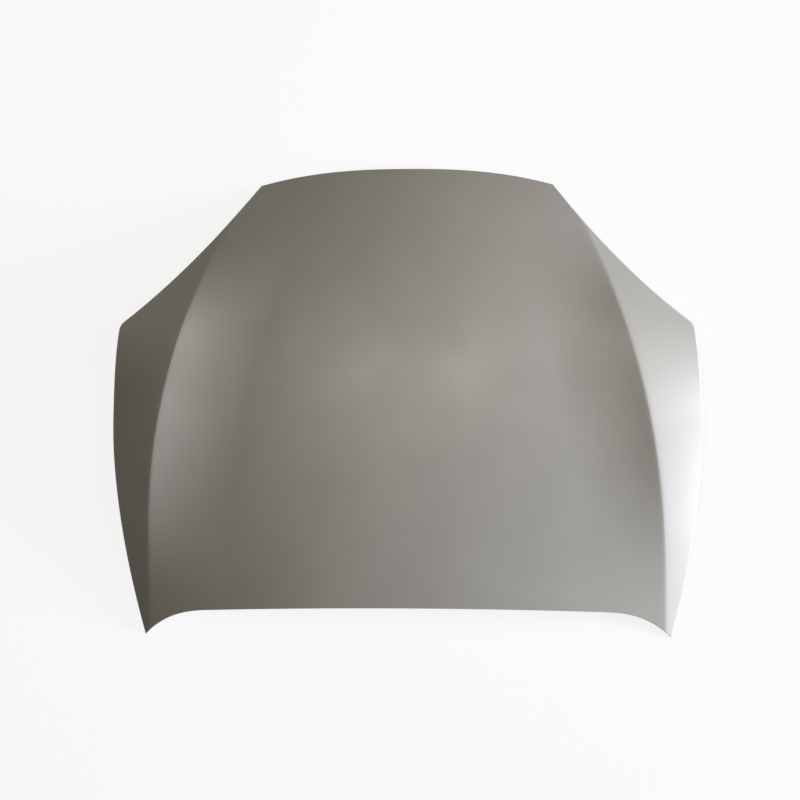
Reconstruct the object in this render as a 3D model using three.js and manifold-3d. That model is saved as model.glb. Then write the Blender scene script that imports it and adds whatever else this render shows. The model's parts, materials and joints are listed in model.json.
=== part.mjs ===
// A car bonnet: a crowned steel skin hemmed round a pressed inner frame, with the striker,
// the hinge reinforcements and the mastic pads that lie between the two panels.
// Millimetres. X runs across the car, Y from the windscreen edge to the nose, Z up.

import * as THREE from 'three';
import Module from 'manifold-3d';
import { mergeVertices } from 'three/addons/utils/BufferGeometryUtils.js';

const wasm = await Module();
wasm.setup();

// Outline seen from above. The length runs from the rear tips to the middle of the nose.
const HALF_WIDTH = 725;
const LENGTH = 1141;
const REAR_TIP_Y = -LENGTH / 2;
const WIDEST_SHARE = 0.45;
const WIDEST_Y = REAR_TIP_Y + WIDEST_SHARE * LENGTH;
const SIDE_PINCH_REAR = 75;
const SIDE_PINCH_FRONT = 20;
const SIDE_PINCH_POWER = 1.89;
const LAMP_CORNER_SHARE = 0.665;
const LAMP_CORNER_Y = REAR_TIP_Y + LAMP_CORNER_SHARE * LENGTH;
const NOSE_CORNER_X = 360;
const NOSE_ARCH = 40;
const NOSE_CORNER_Y = LENGTH / 2 - NOSE_ARCH;
const NOSE_ARCH_POWER = 2.5;
const LAMP_HOLLOW = 22;
const LAMP_CORNER_ROUND = 12;
const INNER_CORNER_ROUND = 5;
const CORNER_TIGHTENING = 1 / 6;
const TIP_BEYOND_REAR_EDGE = 65.5;
const REAR_EDGE_Y = REAR_TIP_Y + TIP_BEYOND_REAR_EDGE;
const REAR_EDGE_BOW = 14;
const REAR_HOOK_START_X = 480;
const REAR_HOOK = 55;
const REAR_HOOK_POWER = 2.8;
const TIP_BEYOND_CREASE = 12;

// Creases, in plan
const CREASE_TO_TIP = 14;
const CREASE_REAR_X = HALF_WIDTH - SIDE_PINCH_REAR - CREASE_TO_TIP;
const CREASE_FRONT_SHARE = 0.199;
const CREASE_BEND_Y = -420;
const CREASE_POWER = 2.25;

// Heights of the outer face
const REAR_CENTRE_HEIGHT = 44;
const SPINE_REAR_SLOPE = 0.158;
const SPINE_NOSE_FALL = 0.56;
const CROWN_REFERENCE_X = 600;
const CROWN_REAR = 56;
const CROWN_EASING = 50;
const CROWN_NOSE_GROWTH = 56;
const FLUTE_WIDTH = 215;
const FLUTE_LIFT = 25.5;
const FLUTE_REAR_Y = -570;
const FLUTE_FULL_Y = -60;
const FLUTE_FADE_START_Y = 150;
const FLUTE_FADE_END_Y = 430;
const FLUTE_FADE = 0.9;
const FLANK_SLOPE_REAR = 0.55;
const FLANK_SLOPE_MIDDLE = 0.47;
const FLANK_SLOPE_FRONT = 0.29;
const FLANK_REAR_Y = -320;
const FLANK_MIDDLE_Y = -50;
const FLANK_FRONT_Y = 190;
const FLANK_CURL = 0.0008;

// Sheet metal and the hem
const SKIN_THICKNESS = 0.7;
const FRAME_THICKNESS = 0.6;
const SHEET_GAP = 0.3;
const HEM_RETURN = 9;
const HEM_FLANGE = 11;
const FOLD_ROUND = 1;
const FLANGE_DEPTH = SKIN_THICKNESS + SHEET_GAP;
const HEM_STACK = 2 * SKIN_THICKNESS + 2 * SHEET_GAP + FRAME_THICKNESS;
const FLANGE_EDGE_GAP = 1.1;
const FLANGE_EDGE = SKIN_THICKNESS + FLANGE_EDGE_GAP;

// Inner frame
const CHANNEL_START = 22;
const CHANNEL_END = 44;
const RIB_DEPTH = 24;
const RIB_HALF_WIDTH = 10;
const RIB_WALL = 11;
const LAND_DEPTH = 5;
const BED_DEPTH = 10;
const LAND_WIDTH = 16;
const WINDOW_LIP = 3;
const WINDOW_LIP_DROP = 3;
const WINDOW_CORNER = 0.3;
const CORNER_EASE_ACROSS = 0.5;
const CORNER_EASE_ALONG = 0.3;
const FRAME_FLOOR_CLEARANCE = 4;
const CELL_COLUMNS = 7;
const PAD_BORDER = 0.02;

// Mesh steps along the outline, half of it from the rear crease point to the nose corner
const STEPS_ACROSS = 3 * CELL_COLUMNS;
const STEPS_REAR_FLANK = 3;
const STEPS_SIDE = 12;
const STEPS_CORNER = 2;
const STEPS_LAMP_FLANK = 4;
const STEPS_LAMP_MAIN = 3;
const STEPS_FLANK = STEPS_SIDE + STEPS_CORNER + STEPS_LAMP_FLANK;
const STEPS_ALONG = STEPS_FLANK + STEPS_LAMP_MAIN;
const TIP = STEPS_ACROSS + STEPS_REAR_FLANK;
const LAMP_CROSSING = TIP + STEPS_FLANK;
const NOSE_CORNER = TIP + STEPS_ALONG;
const NOSE_CORNER_LEFT = NOSE_CORNER + STEPS_ACROSS;
const LAMP_CROSSING_LEFT = NOSE_CORNER_LEFT + STEPS_LAMP_MAIN;
const TIP_LEFT = LAMP_CROSSING_LEFT + STEPS_FLANK;
const OUTLINE_STEPS = TIP_LEFT + STEPS_REAR_FLANK;
const REAR_SPREAD = 0.93;

// Hinge pads and the fasteners that hold the hinges
const HINGE_PAD_HEIGHT = 27;
const HINGE_PAD_A = [0.26, 0.72];
const HINGE_PAD_B = [0.3, 0.72];
const HINGE_PLATE = { width: 54, length: 96, thickness: 2, corner: 10 };
const HINGE_BOLT_TO_END = 20;
const HINGE_BOLT_SPACING = HINGE_PLATE.length - 2 * HINGE_BOLT_TO_END;
const HINGE_HOLE_RADIUS = 4.6;
const HOLE_SIDES = 12;
const DRILL_REACH = 10;
const NUT_FLATS = 13;
const NUT_HEIGHT = 6.5;
const NUT_HOLE_RADIUS = 3.6;

// Latch striker at the middle of the nose
const LATCH_PAD_HEIGHT = 42;
const LATCH_PAD_A = [0.14, 0.86];
const LATCH_PAD_B = [0.52, 0.8];
const STRIKER_MARGIN = { width: 3, length: 5 };
const STRIKER_PLATE = { width: 72, length: 34, thickness: 3, corner: 8 };
const LATCH_PLATE = {
  width: STRIKER_PLATE.width + 2 * STRIKER_MARGIN.width,
  length: STRIKER_PLATE.length + 2 * STRIKER_MARGIN.length,
  thickness: 2,
  corner: 8,
};
const STRIKER_BOLT_TO_END = 10;
const STRIKER_BOLT_SPACING = STRIKER_PLATE.width - 2 * STRIKER_BOLT_TO_END;
const STRIKER_HOLE_RADIUS = 3.9;
const STRIKER_BOLT_RADIUS = 3;
const STRIKER_HEAD_FLATS = 10;
const STRIKER_HEAD_HEIGHT = 4;
const STRIKER_WIRE = 7;
const STRIKER_LOOP_TO_BOLT = 12;
const STRIKER_LOOP_WIDTH = STRIKER_BOLT_SPACING - 2 * STRIKER_LOOP_TO_BOLT;
const STRIKER_LOOP_DROP = 27;
const SEMICIRCLE_HANDLE = 4 / 3;

// Mastic between the lands and the skin
const MASTIC_RADIUS = 6.5;
const MASTIC_TOP_SHARE = 0.82;
const MASTIC_SIDES = 10;
const MASTIC_GAP = 0.5;
const MASTIC_THICKNESS = LAND_DEPTH - SKIN_THICKNESS - 2 * MASTIC_GAP;

const PRIMER = { color: 0x96928c, roughness: 0.42, metalness: 0.1 };
const PRIMER_INSIDE = { color: 0x84817b, roughness: 0.5, metalness: 0.1 };
const ZINC = { color: 0xb4b2aa, roughness: 0.35, metalness: 0.9 };
const MASTIC = { color: 0x2b2a29, roughness: 0.85, metalness: 0 };

const mix = (a, b, share) => a + (b - a) * share;
const smooth = THREE.MathUtils.smoothstep;

function rearEdge(x) {
  const bow = REAR_EDGE_BOW * (x / CREASE_REAR_X) ** 2;
  const reach = CREASE_REAR_X + TIP_BEYOND_CREASE - REAR_HOOK_START_X;
  const beyond = Math.max(0, Math.abs(x) - REAR_HOOK_START_X) / reach;
  return REAR_EDGE_Y - bow - REAR_HOOK * beyond ** REAR_HOOK_POWER;
}

function sideEdge(y) {
  if (y > WIDEST_Y) {
    return HALF_WIDTH - SIDE_PINCH_FRONT * ((y - WIDEST_Y) / (LAMP_CORNER_Y - WIDEST_Y)) ** 2;
  }
  return HALF_WIDTH - SIDE_PINCH_REAR * ((WIDEST_Y - y) / (WIDEST_Y - REAR_TIP_Y)) ** SIDE_PINCH_POWER;
}

const LAMP_CORNER_X = sideEdge(LAMP_CORNER_Y);

function lampEdge(x) {
  const share = (x - NOSE_CORNER_X) / (LAMP_CORNER_X - NOSE_CORNER_X);
  return mix(NOSE_CORNER_Y, LAMP_CORNER_Y, share) - 4 * LAMP_HOLLOW * share * (1 - share);
}

function noseEdge(x) {
  return NOSE_CORNER_Y + NOSE_ARCH * (1 - (Math.abs(x) / NOSE_CORNER_X) ** NOSE_ARCH_POWER);
}

// The crease ends on the headlamp edge, at a share of the way from the nose corner to the side.
const CREASE_FRONT_X = mix(NOSE_CORNER_X, LAMP_CORNER_X, CREASE_FRONT_SHARE);
const CREASE_FRONT_Y = lampEdge(CREASE_FRONT_X);

function creaseLine(y) {
  const bend = Math.max(0, y - CREASE_BEND_Y) / (CREASE_FRONT_Y - CREASE_BEND_Y);
  return mix(CREASE_REAR_X, CREASE_FRONT_X, bend ** CREASE_POWER);
}

// The height along the middle rises from the rear edge, turns over and falls to the nose.
function spineHeight(y) {
  const length = NOSE_CORNER_Y + NOSE_ARCH - REAR_EDGE_Y;
  const share = (y - REAR_EDGE_Y) / length;
  return REAR_CENTRE_HEIGHT + length * (SPINE_REAR_SLOPE * share - (SPINE_NOSE_FALL / 3) * share ** 3);
}

function crownAmount(y) {
  const share = (y - REAR_TIP_Y) / (NOSE_CORNER_Y - REAR_TIP_Y);
  return CROWN_REAR - CROWN_EASING * share + CROWN_NOSE_GROWTH * share ** 2;
}

function fluteAmount(y) {
  const fade = 1 - FLUTE_FADE * smooth(y, FLUTE_FADE_START_Y, FLUTE_FADE_END_Y);
  return FLUTE_LIFT * smooth(y, FLUTE_REAR_Y, FLUTE_FULL_Y) * fade;
}

function flankSlope(y) {
  const rear = mix(FLANK_SLOPE_REAR, FLANK_SLOPE_MIDDLE, smooth(y, FLANK_REAR_Y, FLANK_MIDDLE_Y));
  return mix(rear, FLANK_SLOPE_FRONT, smooth(y, FLANK_MIDDLE_Y, FLANK_FRONT_Y));
}

// The flank is flat at the headlamp and curls down more and more behind it.
function flankCurl(y) {
  return FLANK_CURL * (1 - smooth(y, FLANK_MIDDLE_Y, FLANK_FRONT_Y));
}

// Inside the crease the panel is crowned, with a flute that lifts again to the crease.
// Outside it the flank falls away.
function rawHeight(x, y) {
  const crease = creaseLine(y);
  const across = Math.abs(x);
  const inside = Math.min(across, crease);
  const outside = Math.max(0, across - crease);
  const lift = fluteAmount(y) * Math.max(0, 1 - (crease - inside) / FLUTE_WIDTH) ** 2;
  const crown = crownAmount(y) * (inside / CROWN_REFERENCE_X) ** 2;
  return spineHeight(y) - crown + lift - flankSlope(y) * outside - flankCurl(y) * outside ** 2;
}

// The rear tips and the nose corners touch the floor, so the whole face is tilted to level them.
const TIP_HEIGHT = rawHeight(sideEdge(REAR_TIP_Y), REAR_TIP_Y);
const NOSE_CORNER_HEIGHT = rawHeight(NOSE_CORNER_X, NOSE_CORNER_Y);

function height(x, y) {
  const share = (y - REAR_TIP_Y) / (NOSE_CORNER_Y - REAR_TIP_Y);
  return rawHeight(x, y) - mix(TIP_HEIGHT, NOSE_CORNER_HEIGHT, share) + HEM_STACK;
}

function faceNormal(x, y) {
  const step = 1;
  const slopeX = (height(x + step, y) - height(x - step, y)) / (2 * step);
  const slopeY = (height(x, y + step) - height(x, y - step)) / (2 * step);
  return new THREE.Vector3(-slopeX, -slopeY, 1).normalize();
}

// A point at some depth below the outer face, measured square to it.
function below([x, y], depth) {
  return new THREE.Vector3(x, y, height(x, y)).addScaledVector(faceNormal(x, y), -depth);
}

// The outline's four edges on the right, walked from the rear to the nose.
const REAR = { at: (x) => [x, rearEdge(x)] };
const SIDE = { at: (y) => [sideEdge(y), y] };
const LAMP = { at: (x) => [x, lampEdge(x)], back: true };
const NOSE = { at: (x) => [x, noseEdge(x)], back: true };
const CREASE = { at: (y) => [creaseLine(y), y] };

// The same edge moved inwards by a distance, square to the edge.
function inset(edge, distance) {
  const step = 0.5;
  const at = (u) => {
    const [x0, y0] = edge.at(u - step);
    const [x1, y1] = edge.at(u + step);
    const length = Math.hypot(x1 - x0, y1 - y0) * (edge.back ? -1 : 1);
    const [x, y] = edge.at(u);
    return [x - (distance * (y1 - y0)) / length, y + (distance * (x1 - x0)) / length];
  };
  return { at, back: edge.back };
}

// Newton's method finds where two edges cross.
function meet(first, u, second, v) {
  const turns = 12;
  const step = 0.1;
  for (let turn = 0; turn < turns; turn += 1) {
    const [ax, ay] = first.at(u);
    const [bx, by] = second.at(v);
    const [aux, auy] = first.at(u + step).map((value, k) => (value - [ax, ay][k]) / step);
    const [bvx, bvy] = second.at(v + step).map((value, k) => (value - [bx, by][k]) / step);
    const scale = -aux * bvy + auy * bvx;
    const dx = bx - ax;
    const dy = by - ay;
    u += (-dx * bvy + dy * bvx) / scale;
    v += (aux * dy - auy * dx) / scale;
  }
  return [u, v];
}

function walk(edge, from, to, steps) {
  return Array.from({ length: steps }, (_, k) => edge.at(mix(from, to, k / steps)));
}

// The corner at the headlamp is rounded by a short curve between the two edges beside it.
function cornerCurve(side, sideEnd, lamp, lampStart, round) {
  const start = new THREE.Vector2(...side.at(sideEnd - round));
  const corner = new THREE.Vector2(...side.at(sideEnd));
  const end = new THREE.Vector2(...lamp.at(lampStart - round));
  return new THREE.QuadraticBezierCurve(start, corner, end);
}

// The outline at an inset, as one closed list of points that starts at the left crease's rear end.
function outline(distance) {
  const seam = Math.min(distance, HEM_FLANGE);
  const rear = inset(REAR, distance);
  const side = inset(SIDE, distance);
  const lamp = inset(LAMP, distance);
  const nose = inset(NOSE, distance);
  const [rearEnd, sideStart] = meet(rear, sideEdge(REAR_TIP_Y), side, REAR_TIP_Y);
  const [sideEnd, lampStart] = meet(side, LAMP_CORNER_Y, lamp, LAMP_CORNER_X);
  const [lampEnd, noseStart] = meet(lamp, NOSE_CORNER_X, nose, NOSE_CORNER_X);
  const [seamRear] = meet(inset(REAR, seam), CREASE_REAR_X, CREASE, REAR_TIP_Y);
  const [seamLamp] = meet(inset(LAMP, seam), CREASE_FRONT_X, CREASE, CREASE_FRONT_Y);
  const rearCrossing = distance > seam ? rearEnd * REAR_SPREAD : seamRear;
  const round = Math.max(LAMP_CORNER_ROUND - distance * CORNER_TIGHTENING, INNER_CORNER_ROUND);
  const curve = cornerCurve(side, sideEnd, lamp, lampStart, round);
  const arc = curve.getPoints(STEPS_CORNER).slice(0, STEPS_CORNER).map((p) => [p.x, p.y]);
  const right = [
    ...walk(rear, rearCrossing, rearEnd, STEPS_REAR_FLANK),
    ...walk(side, sideStart, sideEnd - round, STEPS_SIDE),
    ...arc,
    ...walk(lamp, lampStart - round, seamLamp, STEPS_LAMP_FLANK),
    ...walk(lamp, seamLamp, lampEnd, STEPS_LAMP_MAIN),
  ];
  const left = [nose.at(noseStart), ...right.slice(1).reverse()].map(([x, y]) => [-x, y]);
  return [
    ...walk(rear, -rearCrossing, rearCrossing, STEPS_ACROSS),
    ...right,
    ...walk(nose, noseStart, -noseStart, STEPS_ACROSS),
    ...left,
  ];
}

// A surface of shared points and outward triangles, which is thickened into a solid sheet.
class Sheet {
  constructor() {
    this.points = [];
    this.faces = [];
  }

  add(point) {
    this.points.push(point);
    return this.points.length - 1;
  }

  triangle(a, b, c) {
    if (a !== b && b !== c && c !== a) {
      this.faces.push(a, b, c);
    }
  }

  quad(a, b, c, d) {
    this.triangle(a, b, c);
    this.triangle(a, c, d);
  }

  // A closed band between two loops with as many points, the first loop outside the second.
  // Its quads are split along one diagonal or, where turned is set, along the other.
  band(outer, inner, turned = false) {
    outer.forEach((corner, k) => {
      const next = (k + 1) % outer.length;
      if (turned) {
        this.quad(outer[next], inner[next], inner[k], corner);
      } else {
        this.quad(corner, outer[next], inner[next], inner[k]);
      }
    });
  }

  cap(loop, middle) {
    loop.forEach((corner, k) => this.triangle(corner, loop[(k + 1) % loop.length], middle));
  }

  openEdges() {
    const edges = new Map();
    for (let k = 0; k < this.faces.length; k += 3) {
      [0, 1, 2].forEach((side) => {
        const from = this.faces[k + side];
        const to = this.faces[k + ((side + 1) % 3)];
        if (!edges.delete(`${to} ${from}`)) {
          edges.set(`${from} ${to}`, [from, to]);
        }
      });
    }
    return [...edges.values()];
  }

  // The second face lies inside by the sheet's thickness, along each point's own normal.
  thicken(thickness) {
    const flat = this.points.flatMap((point) => point.toArray());
    const surface = new THREE.BufferGeometry();
    surface.setAttribute('position', new THREE.Float32BufferAttribute(flat, 3));
    surface.setIndex(this.faces);
    surface.computeVertexNormals();
    const normal = new THREE.Vector3();
    const inner = this.points.flatMap((point, k) => {
      normal.fromBufferAttribute(surface.attributes.normal, k);
      return point.clone().addScaledVector(normal, -thickness).toArray();
    });
    const count = this.points.length;
    const index = [...this.faces];
    for (let k = 0; k < this.faces.length; k += 3) {
      index.push(this.faces[k + 2] + count, this.faces[k + 1] + count, this.faces[k] + count);
    }
    this.openEdges().forEach(([from, to]) => {
      index.push(to, from, from + count, to, from + count, to + count);
    });
    const solid = new THREE.BufferGeometry();
    solid.setAttribute('position', new THREE.Float32BufferAttribute([...flat, ...inner], 3));
    solid.setIndex(index);
    return solid;
  }
}

const addLoop = (sheet, points, depth) => points.map((point) => sheet.add(below(point, depth)));

// The outer face as a grid between the creases, and a leaf of three columns outside each crease.
function skinGrid(sheet, rim, rimPoints) {
  const rows = [];
  const bottom = rimPoints[STEPS_ACROSS][1];
  const top = rimPoints[NOSE_CORNER][1];
  for (let j = 0; j <= STEPS_ALONG; j += 1) {
    const y = mix(bottom, rimPoints[LAMP_CROSSING][1], Math.min(j / STEPS_FLANK, 1));
    const edge = j < STEPS_FLANK ? [creaseLine(y), y] : rimPoints[TIP + j];
    const share = (edge[1] - bottom) / (top - bottom);
    rows.push(skinRow(sheet, rim, rimPoints, j, edge, share));
  }
  for (let j = 0; j < STEPS_ALONG; j += 1) {
    for (let i = 0; i < STEPS_ACROSS; i += 1) {
      sheet.quad(rows[j][i], rows[j][i + 1], rows[j + 1][i + 1], rows[j + 1][i]);
    }
  }
  return rows;
}

function skinRow(sheet, rim, rimPoints, j, edge, share) {
  const row = [];
  for (let i = 0; i <= STEPS_ACROSS; i += 1) {
    const across = (2 * i) / STEPS_ACROSS - 1;
    const rear = rimPoints[i];
    const nose = rimPoints[NOSE_CORNER_LEFT - i];
    const rearEnd = rimPoints[STEPS_ACROSS];
    const noseEnd = rimPoints[NOSE_CORNER];
    const x = edge[0] * across
      + (1 - share) * (rear[0] - rearEnd[0] * across) + share * (nose[0] - noseEnd[0] * across);
    const y = edge[1] + (1 - share) * (rear[1] - rearEnd[1]) + share * (nose[1] - noseEnd[1]);
    const onRight = i === STEPS_ACROSS && j >= STEPS_FLANK;
    const onLeft = i === 0 && j >= STEPS_FLANK;
    if (j === 0) {
      row.push(rim[i]);
    } else if (j === STEPS_ALONG) {
      row.push(rim[NOSE_CORNER_LEFT - i]);
    } else if (onRight) {
      row.push(rim[TIP + j]);
    } else if (onLeft) {
      row.push(rim[TIP_LEFT - j]);
    } else {
      row.push(sheet.add(below([x, y], 0)));
    }
  }
  return row;
}

function skinFlank(sheet, rows, rim, rimPoints, side) {
  const columns = STEPS_REAR_FLANK;
  const lines = [];
  for (let j = 0; j <= STEPS_FLANK; j += 1) {
    const inner = rows[j][side > 0 ? STEPS_ACROSS : 0];
    const outerStep = side > 0 ? TIP + j : TIP_LEFT - j;
    const from = sheet.points[inner];
    const to = rimPoints[outerStep];
    const line = [inner];
    for (let r = 1; r < columns; r += 1) {
      const spot = [mix(from.x, to[0], r / columns), mix(from.y, to[1], r / columns)];
      const rearStep = side > 0 ? STEPS_ACROSS + r : (OUTLINE_STEPS - r) % OUTLINE_STEPS;
      line.push(j === 0 ? rim[rearStep] : j === STEPS_FLANK ? inner : sheet.add(below(spot, 0)));
    }
    line.push(rim[outerStep]);
    lines.push(side > 0 ? line : line.reverse());
  }
  for (let j = 0; j < STEPS_FLANK; j += 1) {
    for (let r = 0; r < columns; r += 1) {
      sheet.quad(lines[j][r], lines[j][r + 1], lines[j + 1][r + 1], lines[j + 1][r]);
    }
  }
}

// The skin's outer surface runs over the edge, round the fold and back underneath as the hem's return.
function skinGeometry() {
  const sheet = new Sheet();
  const rimPoints = outline(HEM_FLANGE);
  const rim = addLoop(sheet, rimPoints, 0);
  const rows = skinGrid(sheet, rim, rimPoints);
  skinFlank(sheet, rows, rim, rimPoints, 1);
  skinFlank(sheet, rows, rim, rimPoints, -1);
  const loops = [
    addLoop(sheet, outline(HEM_RETURN), HEM_STACK),
    addLoop(sheet, outline(FOLD_ROUND), HEM_STACK),
    addLoop(sheet, outline(0), HEM_STACK - FOLD_ROUND),
    addLoop(sheet, outline(0), FOLD_ROUND),
    addLoop(sheet, outline(FOLD_ROUND), 0),
    rim,
  ];
  loops.slice(1).forEach((loop, k) => sheet.band(loops[k], loop, k === 0));
  return sheet.thicken(SKIN_THICKNESS);
}

// The frame lies at its depth below the skin, except near the floor, where it is kept clear of it.
function frameDepth([x, y], depth) {
  return Math.min(depth, Math.max(height(x, y) - FRAME_FLOOR_CLEARANCE, FLANGE_DEPTH));
}

const addFrameLoop = (sheet, points, depth) =>
  points.map((point) => sheet.add(below(point, frameDepth(point, depth))));

// The frame's field inside the channel, as a patch between its four sides.
// across runs from -1 at the left to 1 at the right, and along from 0 at the rear to 1 at the nose.
class Field {
  constructor(points) {
    this.rear = points.slice(TIP_LEFT).concat(points.slice(0, TIP + 1));
    this.nose = points.slice(NOSE_CORNER, NOSE_CORNER_LEFT + 1).reverse();
    this.right = points.slice(TIP, NOSE_CORNER + 1);
    this.bottom = this.right[0];
    this.top = this.right[STEPS_ALONG];
  }

  along(step) {
    return (this.right[step][1] - this.bottom[1]) / (this.top[1] - this.bottom[1]);
  }

  pick(list, place) {
    const clamped = THREE.MathUtils.clamp(place, 0, list.length - 1);
    const start = Math.min(Math.floor(clamped), list.length - 2);
    return list[start].map((value, k) => mix(value, list[start + 1][k], clamped - start));
  }

  rearAt(across) {
    const place = ((across + 1) / 2) * CELL_COLUMNS;
    const extra = STEPS_REAR_FLANK * (Math.min(place, 1) + Math.max(place - CELL_COLUMNS + 1, 0));
    return this.pick(this.rear, place * (STEPS_ACROSS / CELL_COLUMNS) + extra);
  }

  noseAt(across) {
    return this.pick(this.nose, ((across + 1) / 2) * STEPS_ACROSS);
  }

  rightAt(along) {
    const y = mix(this.bottom[1], this.top[1], along);
    const after = this.right.findIndex((point) => point[1] >= y - 1e-9);
    const before = Math.max(after - 1, 0);
    const rise = this.right[after][1] - this.right[before][1] || 1;
    const share = (y - this.right[before][1]) / rise;
    return [mix(this.right[before][0], this.right[after][0], share), y];
  }

  at(across, along) {
    const edge = this.rightAt(along);
    const rear = this.rearAt(across);
    const nose = this.noseAt(across);
    const x = edge[0] * across + (1 - along) * (rear[0] - this.bottom[0] * across)
      + along * (nose[0] - this.top[0] * across);
    const y = edge[1] + (1 - along) * (rear[1] - this.bottom[1]) + along * (nose[1] - this.top[1]);
    return [x, y];
  }
}

const REAR_ROW_STEPS = 7;
const ROW_STEPS = [0, REAR_ROW_STEPS, STEPS_SIDE + STEPS_CORNER / 2, STEPS_ALONG];
const COLUMN_BREAKS = Array.from({ length: CELL_COLUMNS + 1 }, (_, k) => (2 * k) / CELL_COLUMNS - 1);

// One cell of the frame, between two rib middles each way. Its own a and b run from 0 to 1.
class Cell {
  constructor(field, column, row) {
    this.field = field;
    this.column = column;
    this.row = row;
    this.acrossRange = [COLUMN_BREAKS[column], COLUMN_BREAKS[column + 1]];
    this.alongRange = [field.along(ROW_STEPS[row]), field.along(ROW_STEPS[row + 1])];
  }

  at(a, b) {
    return this.field.at(mix(...this.acrossRange, a), mix(...this.alongRange, b));
  }

  get width() {
    const [left, right] = [this.at(0, 0.5), this.at(1, 0.5)];
    return Math.hypot(right[0] - left[0], right[1] - left[1]);
  }

  get length() {
    const [rear, front] = [this.at(0.5, 0), this.at(0.5, 1)];
    return Math.hypot(front[0] - rear[0], front[1] - rear[1]);
  }

  // The boundary as [a, b] pairs, once round, with the steps that its neighbours have too.
  get boundary() {
    const edgeColumn = this.column === 0 || this.column === CELL_COLUMNS - 1;
    const steps = STEPS_ACROSS / CELL_COLUMNS;
    const rearSteps = this.row === 0 && edgeColumn ? steps + STEPS_REAR_FLANK : steps;
    const ridge = (left) => {
      const outside = left ? this.column === 0 : this.column === CELL_COLUMNS - 1;
      if (!outside) {
        return [0, 1 / 3, 2 / 3, 1];
      }
      const [start, end] = [ROW_STEPS[this.row], ROW_STEPS[this.row + 1]];
      const [low, high] = this.alongRange;
      const share = (_, k) => (this.field.along(start + k) - low) / (high - low);
      return Array.from({ length: end - start + 1 }, share);
    };
    const rear = Array.from({ length: rearSteps }, (_, k) => [k / rearSteps, 0]);
    const right = ridge(false).slice(0, -1).map((b) => [1, b]);
    const front = Array.from({ length: steps }, (_, k) => [1 - k / steps, 1]);
    const left = ridge(true).slice(1).reverse().map((b) => [0, b]);
    return [...rear, ...right, ...front, ...left];
  }

  // The boundary drawn in to a smaller rectangle of the cell, with its corners eased.
  loop([aLow, aHigh], [bLow, bHigh], corner) {
    return this.boundary.map(([a, b]) => {
      const ends = (a === 0 || a === 1) && (b === 0 || b === 1);
      const ease = ends ? corner : 0;
      return this.at(
        mix(aLow, aHigh, mix(a, 0.5, ease * CORNER_EASE_ACROSS)),
        mix(bLow, bHigh, mix(b, 0.5, ease * CORNER_EASE_ALONG)),
      );
    });
  }

  insetLoop(distance, corner = 0) {
    const a = distance / this.width;
    const b = distance / this.length;
    return this.loop([a, 1 - a], [b, 1 - b], corner);
  }
}

const FIELD = new Field(outline(CHANNEL_END));
const MIDDLE_COLUMN = (CELL_COLUMNS - 1) / 2;
const LAST_ROW = ROW_STEPS.length - 2;
const CELLS = COLUMN_BREAKS.slice(1).flatMap((_, column) =>
  ROW_STEPS.slice(1).map((__, row) => new Cell(FIELD, column, row)));
const isEdgeColumn = ({ column }) => column === 0 || column === CELL_COLUMNS - 1;
const isHingeCell = (cell) => isEdgeColumn(cell) && cell.row === 0;
const isLatchCell = ({ column, row }) => column === MIDDLE_COLUMN && row === LAST_ROW;
const WINDOW_CELLS = CELLS.filter((cell) => !isEdgeColumn(cell) && !isLatchCell(cell));
const HINGE_CELLS = CELLS.filter(isHingeCell);
const LATCH_CELL = CELLS.find(isLatchCell);

const padMiddle = (cell, a, b) => cell.at((a[0] + a[1]) / 2, (b[0] + b[1]) / 2);

// A flat level pad pressed into a cell. A second loop inside its edge keeps both its faces level.
function addPad(sheet, cell, rim, a, b, level) {
  const levelPoint = ([x, y]) => sheet.add(new THREE.Vector3(x, y, level));
  const edge = cell.loop(a, b, WINDOW_CORNER).map(levelPoint);
  const shrink = ([low, high]) => [low + PAD_BORDER, high - PAD_BORDER];
  const bed = cell.loop(shrink(a), shrink(b), WINDOW_CORNER).map(levelPoint);
  sheet.band(rim, edge);
  sheet.band(edge, bed);
  sheet.cap(bed, levelPoint(padMiddle(cell, a, b)));
}

function addWindow(sheet, cell, rim) {
  const toLand = RIB_HALF_WIDTH + RIB_WALL;
  const toWindow = toLand + LAND_WIDTH;
  const loops = [
    rim,
    addFrameLoop(sheet, cell.insetLoop(toLand, WINDOW_CORNER), LAND_DEPTH),
    addFrameLoop(sheet, cell.insetLoop(toWindow, WINDOW_CORNER), LAND_DEPTH),
    addFrameLoop(sheet, cell.insetLoop(toWindow + WINDOW_LIP, WINDOW_CORNER), LAND_DEPTH + WINDOW_LIP_DROP),
  ];
  loops.slice(1).forEach((loop, k) => sheet.band(loops[k], loop));
}

// A closed cell rises to a raised bed close under the skin.
function addBed(sheet, cell, rim) {
  const bed = addFrameLoop(sheet, cell.insetLoop(RIB_HALF_WIDTH + RIB_WALL, WINDOW_CORNER), BED_DEPTH);
  const middle = cell.at(0.5, 0.5);
  sheet.band(rim, bed);
  sheet.cap(bed, sheet.add(below(middle, frameDepth(middle, BED_DEPTH))));
}

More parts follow.
